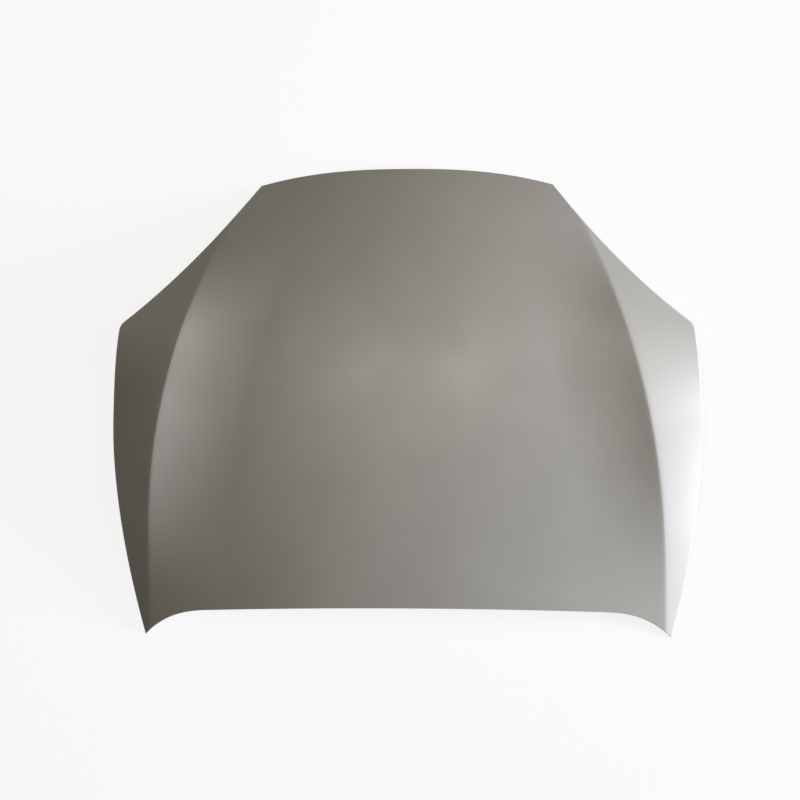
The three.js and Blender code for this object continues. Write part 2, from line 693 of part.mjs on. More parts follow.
function frameSheet() {
  const sheet = new Sheet();
  const shared = new Map();
  const channel = [
    addLoop(sheet, outline(FLANGE_EDGE), FLANGE_DEPTH),
    addLoop(sheet, outline(HEM_FLANGE), FLANGE_DEPTH),
    addFrameLoop(sheet, outline(CHANNEL_START), RIB_DEPTH),
    addFrameLoop(sheet, outline(CHANNEL_END), RIB_DEPTH),
  ];
  channel.slice(1).forEach((loop, k) => sheet.band(channel[k], loop));
  const key = ([x, y]) => `${x.toFixed(3)} ${y.toFixed(3)}`;
  outline(CHANNEL_END).forEach((point, k) => shared.set(key(point), channel[3][k]));
  const ribPoint = (point) => {
    const name = key(point);
    if (!shared.has(name)) {
      shared.set(name, sheet.add(below(point, frameDepth(point, RIB_DEPTH))));
    }
    return shared.get(name);
  };
  CELLS.forEach((cell) => {
    const middle = cell.loop([0, 1], [0, 1], 0).map(ribPoint);
    const rim = addFrameLoop(sheet, cell.insetLoop(RIB_HALF_WIDTH), RIB_DEPTH);
    sheet.band(middle, rim);
    if (isHingeCell(cell)) {
      addPad(sheet, cell, rim, hingeShare(cell), HINGE_PAD_B, HINGE_PAD_HEIGHT);
    } else if (isLatchCell(cell)) {
      addPad(sheet, cell, rim, LATCH_PAD_A, LATCH_PAD_B, LATCH_PAD_HEIGHT);
    } else if (isEdgeColumn(cell)) {
      addBed(sheet, cell, rim);
    } else {
      addWindow(sheet, cell, rim);
    }
  });
  return sheet;
}

const hingeShare = ({ column }) =>
  (column === 0 ? HINGE_PAD_A.map((a) => 1 - a).reverse() : HINGE_PAD_A);

// Solids for joining and cutting
function toManifold(geometry) {
  const bare = geometry.clone();
  bare.deleteAttribute('normal');
  bare.deleteAttribute('uv');
  const merged = mergeVertices(bare, 1e-4);
  const vertProperties = new Float32Array(merged.attributes.position.array);
  const triVerts = new Uint32Array(merged.index.array);
  return new wasm.Manifold(new wasm.Mesh({ numProp: 3, vertProperties, triVerts }));
}

function toGeometry(solid) {
  const { vertProperties, triVerts, numProp } = solid.getMesh();
  const geometry = new THREE.BufferGeometry();
  const position = new THREE.BufferAttribute(new Float32Array(vertProperties), numProp);
  geometry.setAttribute('position', position);
  geometry.setIndex(Array.from(triVerts));
  return geometry;
}

function upright(radius, low, high, [x, y], sides) {
  const cylinder = new THREE.CylinderGeometry(radius, radius, high - low, sides);
  cylinder.rotateX(Math.PI / 2);
  cylinder.translate(x, y, (low + high) / 2);
  return cylinder;
}

const hingeMiddle = (cell) => padMiddle(cell, hingeShare(cell), HINGE_PAD_B);
const LATCH_MIDDLE = padMiddle(LATCH_CELL, LATCH_PAD_A, LATCH_PAD_B);
const hingeBolts = (cell) => {
  const [x, y] = hingeMiddle(cell);
  return [[x, y + HINGE_BOLT_SPACING / 2], [x, y - HINGE_BOLT_SPACING / 2]];
};
const STRIKER_BOLTS = [-1, 1].map((side) =>
  [LATCH_MIDDLE[0] + (side * STRIKER_BOLT_SPACING) / 2, LATCH_MIDDLE[1]]);

function frameGeometry() {
  const drill = (radius, level) => (spot) =>
    toManifold(upright(radius, level - DRILL_REACH, level + DRILL_REACH, spot, HOLE_SIDES));
  const holes = [
    ...HINGE_CELLS.flatMap(hingeBolts).map(drill(HINGE_HOLE_RADIUS, HINGE_PAD_HEIGHT)),
    ...STRIKER_BOLTS.map(drill(STRIKER_HOLE_RADIUS, LATCH_PAD_HEIGHT)),
  ];
  const sheet = toManifold(frameSheet().thicken(FRAME_THICKNESS));
  return toGeometry(holes.reduce((left, hole) => left.subtract(hole), sheet));
}

function roundHole(x, y, radius) {
  const points = Array.from({ length: HOLE_SIDES }, (_, k) => (-2 * Math.PI * k) / HOLE_SIDES);
  return new THREE.Path(points.map((angle) =>
    new THREE.Vector2(x + radius * Math.cos(angle), y + radius * Math.sin(angle))));
}

// A flat plate with rounded corners and round holes, its underside at z = 0.
function plateGeometry({ width, length, thickness, corner }, holes, radius) {
  const shape = new THREE.Shape();
  const right = width / 2 - corner;
  const front = length / 2 - corner;
  shape.absarc(right, front, corner, 0, Math.PI / 2);
  shape.absarc(-right, front, corner, Math.PI / 2, Math.PI);
  shape.absarc(-right, -front, corner, Math.PI, 1.5 * Math.PI);
  shape.absarc(right, -front, corner, 1.5 * Math.PI, 2 * Math.PI);
  holes.forEach(([x, y]) => shape.holes.push(roundHole(x, y, radius)));
  return new THREE.ExtrudeGeometry(shape, { depth: thickness, bevelEnabled: false, curveSegments: 2 });
}

const hexRadius = (flats) => flats / Math.sqrt(3);

function nutGeometry() {
  const shape = new THREE.Shape();
  const corners = Array.from({ length: 6 }, (_, k) => (k * Math.PI) / 3);
  corners.forEach((angle, k) => {
    const [x, y] = [Math.cos(angle), Math.sin(angle)].map((value) => value * hexRadius(NUT_FLATS));
    (k ? shape.lineTo : shape.moveTo).call(shape, x, y);
  });
  shape.holes.push(roundHole(0, 0, NUT_HOLE_RADIUS));
  return new THREE.ExtrudeGeometry(shape, { depth: NUT_HEIGHT, bevelEnabled: false });
}

// The striker's bent wire: two legs and a round bottom, hanging from z = 0.
function strikerLoopGeometry() {
  const half = STRIKER_LOOP_WIDTH / 2;
  const legs = STRIKER_LOOP_DROP - STRIKER_WIRE / 2 - half;
  const pull = -legs - half * SEMICIRCLE_HANDLE;
  const path = new THREE.CurvePath();
  const point = (x, z) => new THREE.Vector3(x, 0, z);
  path.add(new THREE.LineCurve3(point(-half, 0), point(-half, -legs)));
  path.add(new THREE.CubicBezierCurve3(
    point(-half, -legs), point(-half, pull), point(half, pull), point(half, -legs),
  ));
  path.add(new THREE.LineCurve3(point(half, -legs), point(half, 0)));
  const section = new THREE.Shape();
  section.absarc(0, 0, STRIKER_WIRE / 2, 0, 2 * Math.PI);
  return new THREE.ExtrudeGeometry(section, { steps: 18, curveSegments: 4, extrudePath: path });
}

function strikerBoltGeometry(shankLength) {
  const head = upright(hexRadius(STRIKER_HEAD_FLATS), -STRIKER_HEAD_HEIGHT, 0, [0, 0], 6);
  const shank = upright(STRIKER_BOLT_RADIUS, -STRIKER_HEAD_HEIGHT / 2, shankLength, [0, 0], HOLE_SIDES);
  return toGeometry(toManifold(head).add(toManifold(shank)));
}

// A pad of mastic: a squat round drop, lying flat about its middle.
function masticGeometry() {
  const half = MASTIC_THICKNESS / 2;
  const profile = [
    new THREE.Vector2(0, -half),
    new THREE.Vector2(MASTIC_RADIUS, -half),
    new THREE.Vector2(MASTIC_RADIUS * MASTIC_TOP_SHARE, half),
    new THREE.Vector2(0, half),
  ];
  const drop = new THREE.LatheGeometry(profile, MASTIC_SIDES);
  drop.rotateX(Math.PI / 2);
  return drop;
}

const bonnet = new THREE.Group();

function place(name, geometry, finish, position = [0, 0, 0]) {
  const mesh = new THREE.Mesh(geometry, new THREE.MeshStandardMaterial(finish));
  mesh.name = name;
  mesh.position.set(...position);
  bonnet.add(mesh);
  return mesh;
}

function placeHinge(cell) {
  const side = cell.column === 0 ? 'left' : 'right';
  const [x, y] = hingeMiddle(cell);
  const plateBottom = HINGE_PAD_HEIGHT + SHEET_GAP;
  const offsets = hingeBolts(cell).map(([boltX, boltY]) => [boltX - x, boltY - y]);
  const plate = plateGeometry(HINGE_PLATE, offsets, HINGE_HOLE_RADIUS);
  place(`hinge_reinforcement_${side}`, plate, PRIMER_INSIDE, [x, y, plateBottom]);
  const nutBottom = plateBottom + HINGE_PLATE.thickness + SHEET_GAP;
  hingeBolts(cell).forEach((bolt, k) => {
    place(`hinge_nut_${side}_${k ? 'rear' : 'front'}`, nutGeometry(), ZINC, [...bolt, nutBottom]);
  });
}

function placeLatch() {
  const [x, y] = LATCH_MIDDLE;
  const offsets = STRIKER_BOLTS.map(([boltX, boltY]) => [boltX - x, boltY - y]);
  const reinforcementBottom = LATCH_PAD_HEIGHT + SHEET_GAP;
  const strikerTop = LATCH_PAD_HEIGHT - FRAME_THICKNESS - SHEET_GAP;
  const strikerBottom = strikerTop - STRIKER_PLATE.thickness;
  const headTop = strikerBottom - SHEET_GAP;
  const nutBottom = reinforcementBottom + LATCH_PLATE.thickness + SHEET_GAP;
  const shank = nutBottom + NUT_HEIGHT - headTop;
  place('latch_reinforcement', plateGeometry(LATCH_PLATE, offsets, STRIKER_HOLE_RADIUS), PRIMER_INSIDE,
    [x, y, reinforcementBottom]);
  place('striker_plate', plateGeometry(STRIKER_PLATE, offsets, STRIKER_HOLE_RADIUS), ZINC,
    [x, y, strikerBottom]);
  place('striker_loop', strikerLoopGeometry(), ZINC, [x, y, strikerBottom - SHEET_GAP]);
  STRIKER_BOLTS.forEach((bolt, k) => {
    const side = k ? 'right' : 'left';
    place(`striker_bolt_${side}`, strikerBoltGeometry(shank), ZINC, [...bolt, headTop]);
    place(`striker_nut_${side}`, nutGeometry(), ZINC, [...bolt, nutBottom]);
  });
}

// One mastic pad on the rear land of each window.
function placeMastic() {
  const toPad = RIB_HALF_WIDTH + RIB_WALL + LAND_WIDTH / 2;
  WINDOW_CELLS.forEach((cell) => {
    const spot = cell.at(0.5, toPad / cell.length);
    const drop = place(`mastic_${cell.row + 1}_${cell.column + 1}`, masticGeometry(), MASTIC);
    drop.position.copy(below(spot, SKIN_THICKNESS + MASTIC_GAP + MASTIC_THICKNESS / 2));
    drop.quaternion.setFromUnitVectors(new THREE.Vector3(0, 0, 1), faceNormal(...spot));
  });
}

place('outer_panel', skinGeometry(), PRIMER);
place('inner_panel', frameGeometry(), PRIMER_INSIDE);
HINGE_CELLS.forEach(placeHinge);
placeLatch();
placeMastic();

// The origin is under the middle of the bonnet, on the floor that its four corners rest on.
const extent = new THREE.Box3().setFromObject(bonnet);
bonnet.position.set(0, -(extent.min.y + extent.max.y) / 2, -extent.min.z);

export default bonnet;
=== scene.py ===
"""A car bonnet in grey primer, lying face up on a pale floor and seen from above.

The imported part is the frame. The skin, the pressed inner frame, the striker and the mastic
are made again here as finer surfaces from the same sizes, in millimetres, and are turned to
metres in the part's own frame when their meshes are written.
"""

from __future__ import annotations

import json
import logging
from dataclasses import dataclass, field
from enum import Enum
from typing import Callable

import bpy
import numpy as np
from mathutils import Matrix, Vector


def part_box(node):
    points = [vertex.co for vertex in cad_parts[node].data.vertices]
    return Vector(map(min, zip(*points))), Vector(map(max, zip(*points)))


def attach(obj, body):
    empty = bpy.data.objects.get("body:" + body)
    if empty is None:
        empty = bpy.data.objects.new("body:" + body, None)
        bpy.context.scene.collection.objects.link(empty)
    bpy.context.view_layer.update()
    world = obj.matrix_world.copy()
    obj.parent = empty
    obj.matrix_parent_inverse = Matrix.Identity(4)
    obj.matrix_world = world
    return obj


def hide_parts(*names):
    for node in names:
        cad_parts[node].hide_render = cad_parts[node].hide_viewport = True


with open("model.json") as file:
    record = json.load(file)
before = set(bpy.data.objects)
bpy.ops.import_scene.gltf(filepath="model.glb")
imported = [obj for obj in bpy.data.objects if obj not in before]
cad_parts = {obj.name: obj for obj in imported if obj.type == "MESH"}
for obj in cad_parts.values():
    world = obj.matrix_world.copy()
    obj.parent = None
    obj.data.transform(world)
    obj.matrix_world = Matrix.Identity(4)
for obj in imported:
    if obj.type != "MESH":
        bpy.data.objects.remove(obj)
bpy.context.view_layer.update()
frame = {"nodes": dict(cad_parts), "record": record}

LOG = logging.getLogger("bonnet")
Array = np.ndarray

MM = 0.001
# Points are merged on a grid of this many steps to a millimetre.
MERGE_GRID = 100
# From the sizes' own origin to the part's: under the middle of the bonnet, on the floor.
ROW_SHIFT = np.array([0.0, 2.4935, -0.3196])


def mix(low: Array | float, high: Array | float, share: Array | float) -> Array | float:
    """A value between low and high, at a share of the way: low + (high - low) share."""
    return low + (high - low) * share


def smoothstep(value: Array, low: float, high: float) -> Array:
    """0 below low, 1 above high, and 3s^2 - 2s^3 between them."""
    share = np.clip((value - low) / (high - low), 0.0, 1.0)
    return share * share * (3.0 - 2.0 * share)


def ramp(value: Array | float, low: float, high: float, round_share: float = 0.32) -> Array:
    """A pressed wall's profile: a straight slope from 0 to 1 with a parabola at each end.

    Args:
        value: Where to evaluate it.
        low: Where the wall starts.
        high: Where the wall ends.
        round_share: The share of the run that each rounded end takes.

    Returns:
        The share of the wall's rise at each value.
    """
    share = np.clip((np.asarray(value, float) - low) / (high - low), 0.0, 1.0)
    foot = share**2 / (2 * round_share * (1 - round_share))
    middle = (share - round_share / 2) / (1 - round_share)
    head = 1 - (1 - share) ** 2 / (2 * round_share * (1 - round_share))
    return np.where(share < round_share, foot, np.where(share > 1 - round_share, head, middle))


def even(count: int) -> Array:
    """Shares from 0 up to but not including 1, evenly spaced."""
    return np.arange(count) / count


def drawn_to_ends(count: int) -> Array:
    """Shares from 0 up to but not including 1, closer together at both ends: (1 - cos)/2."""
    return (1 - np.cos(np.pi * even(count))) / 2


@dataclass(frozen=True)
class Edge:
    """One edge of the plan, as a curve of one number, and which way round it is walked."""

    curve: Callable[[Array], Array]
    backwards: bool = False

    def inset(self, distance: float) -> "Edge":
        """The edge moved inwards, square to itself.

        Args:
            distance: How far in, in millimetres.

        Returns:
            The new edge, walked the same way.
        """
        sign = -1.0 if self.backwards else 1.0
        half_step = 0.5

        def moved(place: Array) -> Array:
            """The curve's point, plus its left-hand normal times the distance.

            Args:
                place: Where on the curve.

            Returns:
                The moved points.
            """
            run = self.curve(place + half_step) - self.curve(place - half_step)
            run = run * sign / np.linalg.norm(run, axis=-1, keepdims=True)
            return self.curve(place) + distance * np.stack([-run[..., 1], run[..., 0]], -1)

        return Edge(moved, self.backwards)

    def walk(self, start: float, end: float, shares: Array) -> Array:
        """Points at shares of the way from start to end."""
        return self.curve(mix(start, end, shares))


def crossing(first: Edge, u: float, second: Edge, v: float) -> tuple[float, float]:
    """Where two edges cross, by Newton's method from a guess on each.

    Args:
        first: One edge.
        u: The guess on it.
        second: The other edge.
        v: The guess on that.

    Returns:
        The two numbers at which the edges meet.
    """
    step, turns = 0.1, 12
    for _ in range(turns):
        here, there = first.curve(np.float64(u)), second.curve(np.float64(v))
        along = (first.curve(np.float64(u + step)) - here) / step
        beside = (second.curve(np.float64(v + step)) - there) / step
        gap = there - here
        scale = along[1] * beside[0] - along[0] * beside[1]
        u += (gap[1] * beside[0] - gap[0] * beside[1]) / scale
        v += (along[0] * gap[1] - along[1] * gap[0]) / scale
    return float(u), float(v)


@dataclass(frozen=True)
class Stretches:
    """The shares at which each stretch of the outline gets its points."""

    across: Array
    rear_flank: Array
    side: Array
    corner: Array
    lamp_flank: Array
    lamp_main: Array

    @property
    def along_flank(self) -> int:
        """Steps from the rear tip to where the crease meets the headlamp edge."""
        return len(self.side) + len(self.corner) + len(self.lamp_flank)

    @property
    def along(self) -> int:
        """Steps from the rear tip to the nose corner."""
        return self.along_flank + len(self.lamp_main)


@dataclass(frozen=True)
class Plan:
    """The bonnet seen from above: its edges and the two creases. X across, Y to the nose."""

    half_width: float = 725.0
    length: float = 1141.0
    widest_share: float = 0.45
    pinch_rear: float = 75.0
    pinch_front: float = 20.0
    pinch_power: float = 1.89
    lamp_corner_share: float = 0.665
    nose_corner_x: float = 360.0
    nose_arch: float = 40.0
    nose_arch_power: float = 2.5
    lamp_hollow: float = 22.0
    lamp_corner_round: float = 12.0
    inner_corner_round: float = 5.0
    corner_tightening: float = 6.0
    tip_beyond_rear_edge: float = 65.5
    rear_bow: float = 14.0
    hook_start_x: float = 480.0
    hook: float = 55.0
    hook_power: float = 2.8
    tip_beyond_crease: float = 12.0
    crease_to_tip: float = 14.0
    crease_front_share: float = 0.199
    crease_bend_y: float = -420.0
    crease_power: float = 2.25
    seam_inset: float = 11.0
    frame_inset: float = 44.0
    rear_spread: float = 0.93

    @property
    def rear_tip_y(self) -> float:
        """The rear tips' place along the car."""
        return -self.length / 2

    @property
    def nose_corner_y(self) -> float:
        """The nose corners' place along the car."""
        return self.length / 2 - self.nose_arch

    @property
    def widest_y(self) -> float:
        """Where the bonnet is widest."""
        return self.rear_tip_y + self.widest_share * self.length

    @property
    def lamp_corner_y(self) -> float:
        """Where the side ends and the headlamp edge starts."""
        return self.rear_tip_y + self.lamp_corner_share * self.length

    @property
    def lamp_corner_x(self) -> float:
        """The half width at the headlamp corner."""
        return float(self.side_x(self.lamp_corner_y))

    @property
    def rear_edge_y(self) -> float:
        """The windscreen edge at the middle."""
        return self.rear_tip_y + self.tip_beyond_rear_edge

    @property
    def crease_rear_x(self) -> float:
        """Where the crease starts at the rear."""
        return self.half_width - self.pinch_rear - self.crease_to_tip

    @property
    def crease_front(self) -> tuple[float, float]:
        """Where the crease ends on the headlamp edge."""
        x = mix(self.nose_corner_x, self.lamp_corner_x, self.crease_front_share)
        return x, float(self.lamp_y(x))

    def rear_y(self, x: Array) -> Array:
        """The windscreen edge: a shallow bow, and a power curve that hooks back to the tips.

        Args:
            x: Places across.

        Returns:
            The edge's y at each.
        """
        bow = self.rear_bow * (x / self.crease_rear_x) ** 2
        reach = self.crease_rear_x + self.tip_beyond_crease - self.hook_start_x
        beyond = np.maximum(0.0, np.abs(x) - self.hook_start_x) / reach
        return self.rear_edge_y - bow - self.hook * beyond**self.hook_power

    def side_x(self, y: Array) -> Array:
        """The side: widest at one place, drawn in by a power of the distance each way.

        Args:
            y: Places along.

        Returns:
            The half width at each.
        """
        front = self.pinch_front * (np.maximum(0.0, y - self.widest_y)
                                    / (self.lamp_corner_y - self.widest_y)) ** 2
        rear = self.pinch_rear * (np.maximum(0.0, self.widest_y - y)
                                  / (self.widest_y - self.rear_tip_y)) ** self.pinch_power
        return self.half_width - front - rear

    def lamp_y(self, x: Array) -> Array:
        """The headlamp edge: a straight line hollowed by a parabola.

        Args:
            x: Places across.

        Returns:
            The edge's y at each.
        """
        share = (x - self.nose_corner_x) / (self.lamp_corner_x - self.nose_corner_x)
        line = mix(self.nose_corner_y, self.lamp_corner_y, share)
        return line - 4 * self.lamp_hollow * share * (1 - share)

    def nose_y(self, x: Array) -> Array:
        """The nose edge: an arch that falls by a power of the distance from the middle."""
        fall = (np.abs(x) / self.nose_corner_x) ** self.nose_arch_power
        return self.nose_corner_y + self.nose_arch * (1 - fall)

    def crease_x(self, y: Array) -> Array:
        """The crease: straight at the rear, then drawn in to the headlamp edge by a power.

        Args:
            y: Places along.

        Returns:
            The crease's distance from the middle at each.
        """
        front_x, front_y = self.crease_front
        bend = np.maximum(0.0, y - self.crease_bend_y) / (front_y - self.crease_bend_y)
        return mix(self.crease_rear_x, front_x, bend**self.crease_power)

    def edges(self) -> tuple[Edge, Edge, Edge, Edge, Edge]:
        """The plan's lines as edges.

        Returns:
            The rear, side, headlamp and nose edges on the right, and the crease.
        """
        return (
            Edge(lambda x: np.stack([x, self.rear_y(x)], -1)),
            Edge(lambda y: np.stack([self.side_x(y), y], -1)),
            Edge(lambda x: np.stack([x, self.lamp_y(x)], -1), True),
            Edge(lambda x: np.stack([x, self.nose_y(x)], -1), True),
            Edge(lambda y: np.stack([self.crease_x(y), y], -1)),
        )

    def loop(self, distance: float, steps: Stretches) -> Array:
        """The outline at an inset, as one closed loop from the left crease's rear end.

        Args:
            distance: How far inside the edge, in millimetres.
            steps: The shares of each stretch.

        Returns:
            An array of points, N by 2.
        """
        rear, side, lamp, nose, crease = self.edges()
        seam = min(distance, self.seam_inset)
        front_x, front_y = self.crease_front
        seam_rear, _ = crossing(rear.inset(seam), self.crease_rear_x, crease, self.rear_tip_y)
        seam_lamp, _ = crossing(lamp.inset(seam), front_x, crease, front_y)
        rear, side, lamp, nose = (edge.inset(distance) for edge in (rear, side, lamp, nose))
        tip_x = float(self.side_x(self.rear_tip_y))
        rear_end, side_start = crossing(rear, tip_x, side, self.rear_tip_y)
        side_end, lamp_start = crossing(side, self.lamp_corner_y, lamp, self.lamp_corner_x)
        lamp_end, nose_start = crossing(lamp, self.nose_corner_x, nose, self.nose_corner_x)
        inside = np.clip((distance - seam) / (self.frame_inset - self.seam_inset), 0, 1)
        rear_turn = mix(seam_rear, rear_end * self.rear_spread, inside)
        turn = max(self.lamp_corner_round - distance / self.corner_tightening,
                   self.inner_corner_round)
        share = steps.corner[:, None]
        start, corner, end = (side.curve(np.float64(side_end - turn)),
                              side.curve(np.float64(side_end)),
                              lamp.curve(np.float64(lamp_start - turn)))
        arc = (1 - share) ** 2 * start + 2 * share * (1 - share) * corner + share**2 * end
        right = np.concatenate([
            rear.walk(rear_turn, rear_end, steps.rear_flank),
            side.walk(side_start, side_end - turn, steps.side),
            arc,
            lamp.walk(lamp_start - turn, seam_lamp, steps.lamp_flank),
            lamp.walk(seam_lamp, lamp_end, steps.lamp_main),
        ])
        corner_point = nose.curve(np.float64(nose_start))[None]
        left = np.concatenate([corner_point, right[:0:-1]]) * [-1, 1]
        return np.concatenate([
            rear.walk(-rear_turn, rear_turn, steps.across),
            right,
            nose.walk(nose_start, -nose_start, steps.across),
            left,
        ])


@dataclass(frozen=True)
class Face:
    """The heights of the outer face over the plan."""

    plan: Plan = Plan()
    rear_height: float = 44.0
    rear_slope: float = 0.158
    nose_fall: float = 0.56
    crown_reference_x: float = 600.0
    crown_rear: float = 56.0
    crown_easing: float = 50.0
    crown_nose_growth: float = 56.0
    flute_width: float = 215.0
    flute_lift: float = 25.5
    flute_from_y: float = -570.0
    flute_full_y: float = -60.0
    flute_fade_from_y: float = 150.0
    flute_fade_to_y: float = 430.0
    flute_fade: float = 0.9
    flank_slopes: tuple[float, float, float] = (0.55, 0.47, 0.29)
    flank_places: tuple[float, float, float] = (-320.0, -50.0, 190.0)
    flank_curl: float = 0.0008
    crease_softness: float = 3.2
    hem_stack: float = 2.6

    def raw(self, x: Array, y: Array) -> Array:
        """Spine, less the crown, plus the flute, less the flank's fall.

        The crease is a hyperbola across: half of d + sqrt(d^2 + w^2) stands for the distance
        outside it, which rounds the ridge to a radius of about 10 mm. The spine is a cubic
        along, the crown a parabola across that grows to the nose, the flute a parabola that
        lifts the last stretch before the crease, and the flank a slope with a curl.

        Args:
            x: Places across.
            y: Places along.

        Returns:
            The height at each, from a level of its own.
        """
        plan = self.plan
        run = plan.length / 2 - plan.rear_edge_y
        spine_share = (y - plan.rear_edge_y) / run
        spine = self.rear_height + run * (
            self.rear_slope * spine_share - self.nose_fall / 3 * spine_share**3)
        share = (y - plan.rear_tip_y) / (plan.nose_corner_y - plan.rear_tip_y)
        crown = self.crown_rear - self.crown_easing * share + self.crown_nose_growth * share**2
        fade = 1 - self.flute_fade * smoothstep(y, self.flute_fade_from_y, self.flute_fade_to_y)
        flute = self.flute_lift * smoothstep(y, self.flute_from_y, self.flute_full_y) * fade
        rear, middle, front = self.flank_places
        slope = mix(self.flank_slopes[0], self.flank_slopes[1], smoothstep(y, rear, middle))
        slope = mix(slope, self.flank_slopes[2], smoothstep(y, middle, front))
        beyond = np.abs(x) - plan.crease_x(y)
        outside = (beyond + np.sqrt(beyond**2 + self.crease_softness**2)) / 2
        to_crease = outside - beyond
        lift = flute * np.maximum(0.0, 1 - to_crease / self.flute_width) ** 2
        curl = self.flank_curl * (1 - smoothstep(y, middle, front))
        fall = slope * outside + curl * outside**2
        inside = (np.abs(x) - outside) / self.crown_reference_x
        return spine - crown * inside**2 + lift - fall

    def height(self, x: Array, y: Array) -> Array:
        """The raw height, tilted so that the rear tips and the nose corners are level.

        Args:
            x: Places across.
            y: Places along.

        Returns:
            The height above the floor at each.
        """
        plan = self.plan
        tip = self.raw(plan.side_x(plan.rear_tip_y), np.float64(plan.rear_tip_y))
        corner = self.raw(np.float64(plan.nose_corner_x), np.float64(plan.nose_corner_y))
        share = (y - plan.rear_tip_y) / (plan.nose_corner_y - plan.rear_tip_y)
        return self.raw(x, y) - mix(tip, corner, share) + self.hem_stack

    def normal(self, plan_points: Array) -> Array:
        """The unit normal, from the differences of height over 2 mm each way.

        Args:
            plan_points: Points of the plan, the last axis X and Y.

        Returns:
            The normals.
        """
        x, y = plan_points[..., 0], plan_points[..., 1]
        slope_x = (self.height(x + 1, y) - self.height(x - 1, y)) / 2
        slope_y = (self.height(x, y + 1) - self.height(x, y - 1)) / 2
        normal = np.stack([-slope_x, -slope_y, np.ones_like(slope_x)], -1)
        return normal / np.linalg.norm(normal, axis=-1, keepdims=True)

    def below(self, plan_points: Array, depth: Array | float) -> Array:
        """Points under the face, at a depth measured square to it.

        Args:
            plan_points: Points of the plan, the last axis X and Y.
            depth: One depth, or one for each point.

        Returns:
            The points with X, Y and Z.
        """
        x, y = plan_points[..., 0], plan_points[..., 1]
        top = np.stack([x, y, self.height(x, y)], -1)
        depths = np.broadcast_to(np.asarray(depth, float), x.shape)[..., None]
        return top - self.normal(plan_points) * depths


class SheetMesh:
    """Grids of points gathered into one mesh, whose shared borders are merged at the end."""

    def __init__(self) -> None:
        """An empty mesh."""
        self.points: list[Array] = []
        self.quads: list[Array] = []
        self.count = 0

    def grid(self, points: Array, closed: bool = False) -> None:
        """Adds a grid of points, rows by columns by 3, its faces up where both run as X and Y do.

        Args:
            points: The grid, in millimetres.
            closed: Whether each row closes on itself.
        """
        rows, columns = points.shape[:2]
        index = self.count + np.arange(rows * columns).reshape(rows, columns)
        if closed:
            index = np.concatenate([index, index[:, :1]], axis=1)
        corners = [index[:-1, :-1], index[:-1, 1:], index[1:, 1:], index[1:, :-1]]
        self.quads.append(np.stack(corners, -1).reshape(-1, 4))
        self.points.append(points.reshape(-1, 3))
        self.count += rows * columns

    def arrays(self) -> tuple[Array, list[list[int]]]:
        """Merges points that lie together and drops the faces that this leaves empty.

        Returns:
            The points, and the faces with three or four corners.
        """
        points = np.concatenate(self.points)
        quads = np.concatenate(self.quads)
        _, first, inverse = np.unique(
            np.round(points * MERGE_GRID).astype(np.int64), axis=0, return_index=True,
            return_inverse=True)
        quads = inverse.reshape(-1)[quads]
        same = quads == np.roll(quads, -1, axis=1)
        whole = quads[~same.any(axis=1)]
        once = same.sum(axis=1) == 1
        kept = np.argsort(same[once], axis=1, kind="stable")[:, :3]
        kept.sort(axis=1)
        threes = np.take_along_axis(quads[once], kept, axis=1)
        return points[first], whole.tolist() + threes.tolist()


def write_mesh(name: str, points: Array, faces: list[list[int]],
               smooth_angle: float = 40.0) -> bpy.types.Object:
    """Writes points and faces into a new object at the origin, in metres.

    Args:
        name: The piece's name.
        points: Points in millimetres, from the sizes' own origin.
        faces: Lists of point numbers.
        smooth_angle: Edges that turn by more than this many degrees stay sharp.

    Returns:
        The object, linked to the scene.
    """
    mesh = bpy.data.meshes.new(name)
    mesh.from_pydata(((points + ROW_SHIFT) * MM).tolist(), [], faces)
    mesh.validate()
    mesh.update()
    mesh.polygons.foreach_set("use_smooth", np.ones(len(mesh.polygons), bool))
    mesh.set_sharp_from_angle(angle=np.radians(smooth_angle))
    piece = bpy.data.objects.new(name, mesh)
    bpy.context.scene.collection.objects.link(piece)
    return piece


def apply_modifiers(piece: bpy.types.Object, smooth_angle: float = 40.0) -> None:
    """Replaces the piece's mesh by what its modifiers make of it, smooth but for sharp edges.

    Args:
        piece: The piece.
        smooth_angle: Edges that turn by more than this many degrees stay sharp.
    """
    bpy.context.view_layer.update()
    evaluated = piece.evaluated_get(bpy.context.evaluated_depsgraph_get())
    mesh = bpy.data.meshes.new_from_object(evaluated)
    piece.modifiers.clear()
    piece.data = mesh
    mesh.polygons.foreach_set("use_smooth", np.ones(len(mesh.polygons), bool))
    mesh.set_sharp_from_angle(angle=np.radians(smooth_angle))


def thicken(piece: bpy.types.Object, thickness: float) -> None:
    """Gives a sheet its thickness on the side away from its normals, and closes its edges.

    Args:
        piece: The sheet.
        thickness: Its gauge, in millimetres.
    """
    solidify = piece.modifiers.new("sheet_thickness", "SOLIDIFY")
    solidify.thickness = thickness * MM
    solidify.offset = -1.0
    solidify.use_even_offset = True
    apply_modifiers(piece)


def settle(piece: bpy.types.Object, finish: "Finish", slot: str,
           *nodes: str) -> bpy.types.Object:
    """Dresses a piece, hides the nodes it stands for, and lets it ride.

    Args:
        piece: The piece.
        finish: What it is made of.
        slot: The record's material slot; not used.
        nodes: The CAD nodes it replaces.

    Returns:
        The piece.
    """
    piece.data.materials.clear()
    piece.data.materials.append(finish.material())
    if nodes:
        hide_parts(*nodes)
    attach(piece, "root")
    LOG.info("%s: %d faces", piece.name, len(piece.data.polygons))
    return piece


def linear(hex_colour: str) -> tuple[float, float, float, float]:
    """An sRGB hex colour as the linear values that a shader takes.

    Args:
        hex_colour: A number sign and six hex digits.

    Returns:
        Red, green, blue and a full alpha.
    """
    values = np.array([int(hex_colour[k:k + 2], 16) for k in (1, 3, 5)]) / 255
    turned = np.where(values <= 0.04045, values / 12.92, ((values + 0.055) / 1.055) ** 2.4)
    return (*turned.tolist(), 1.0)


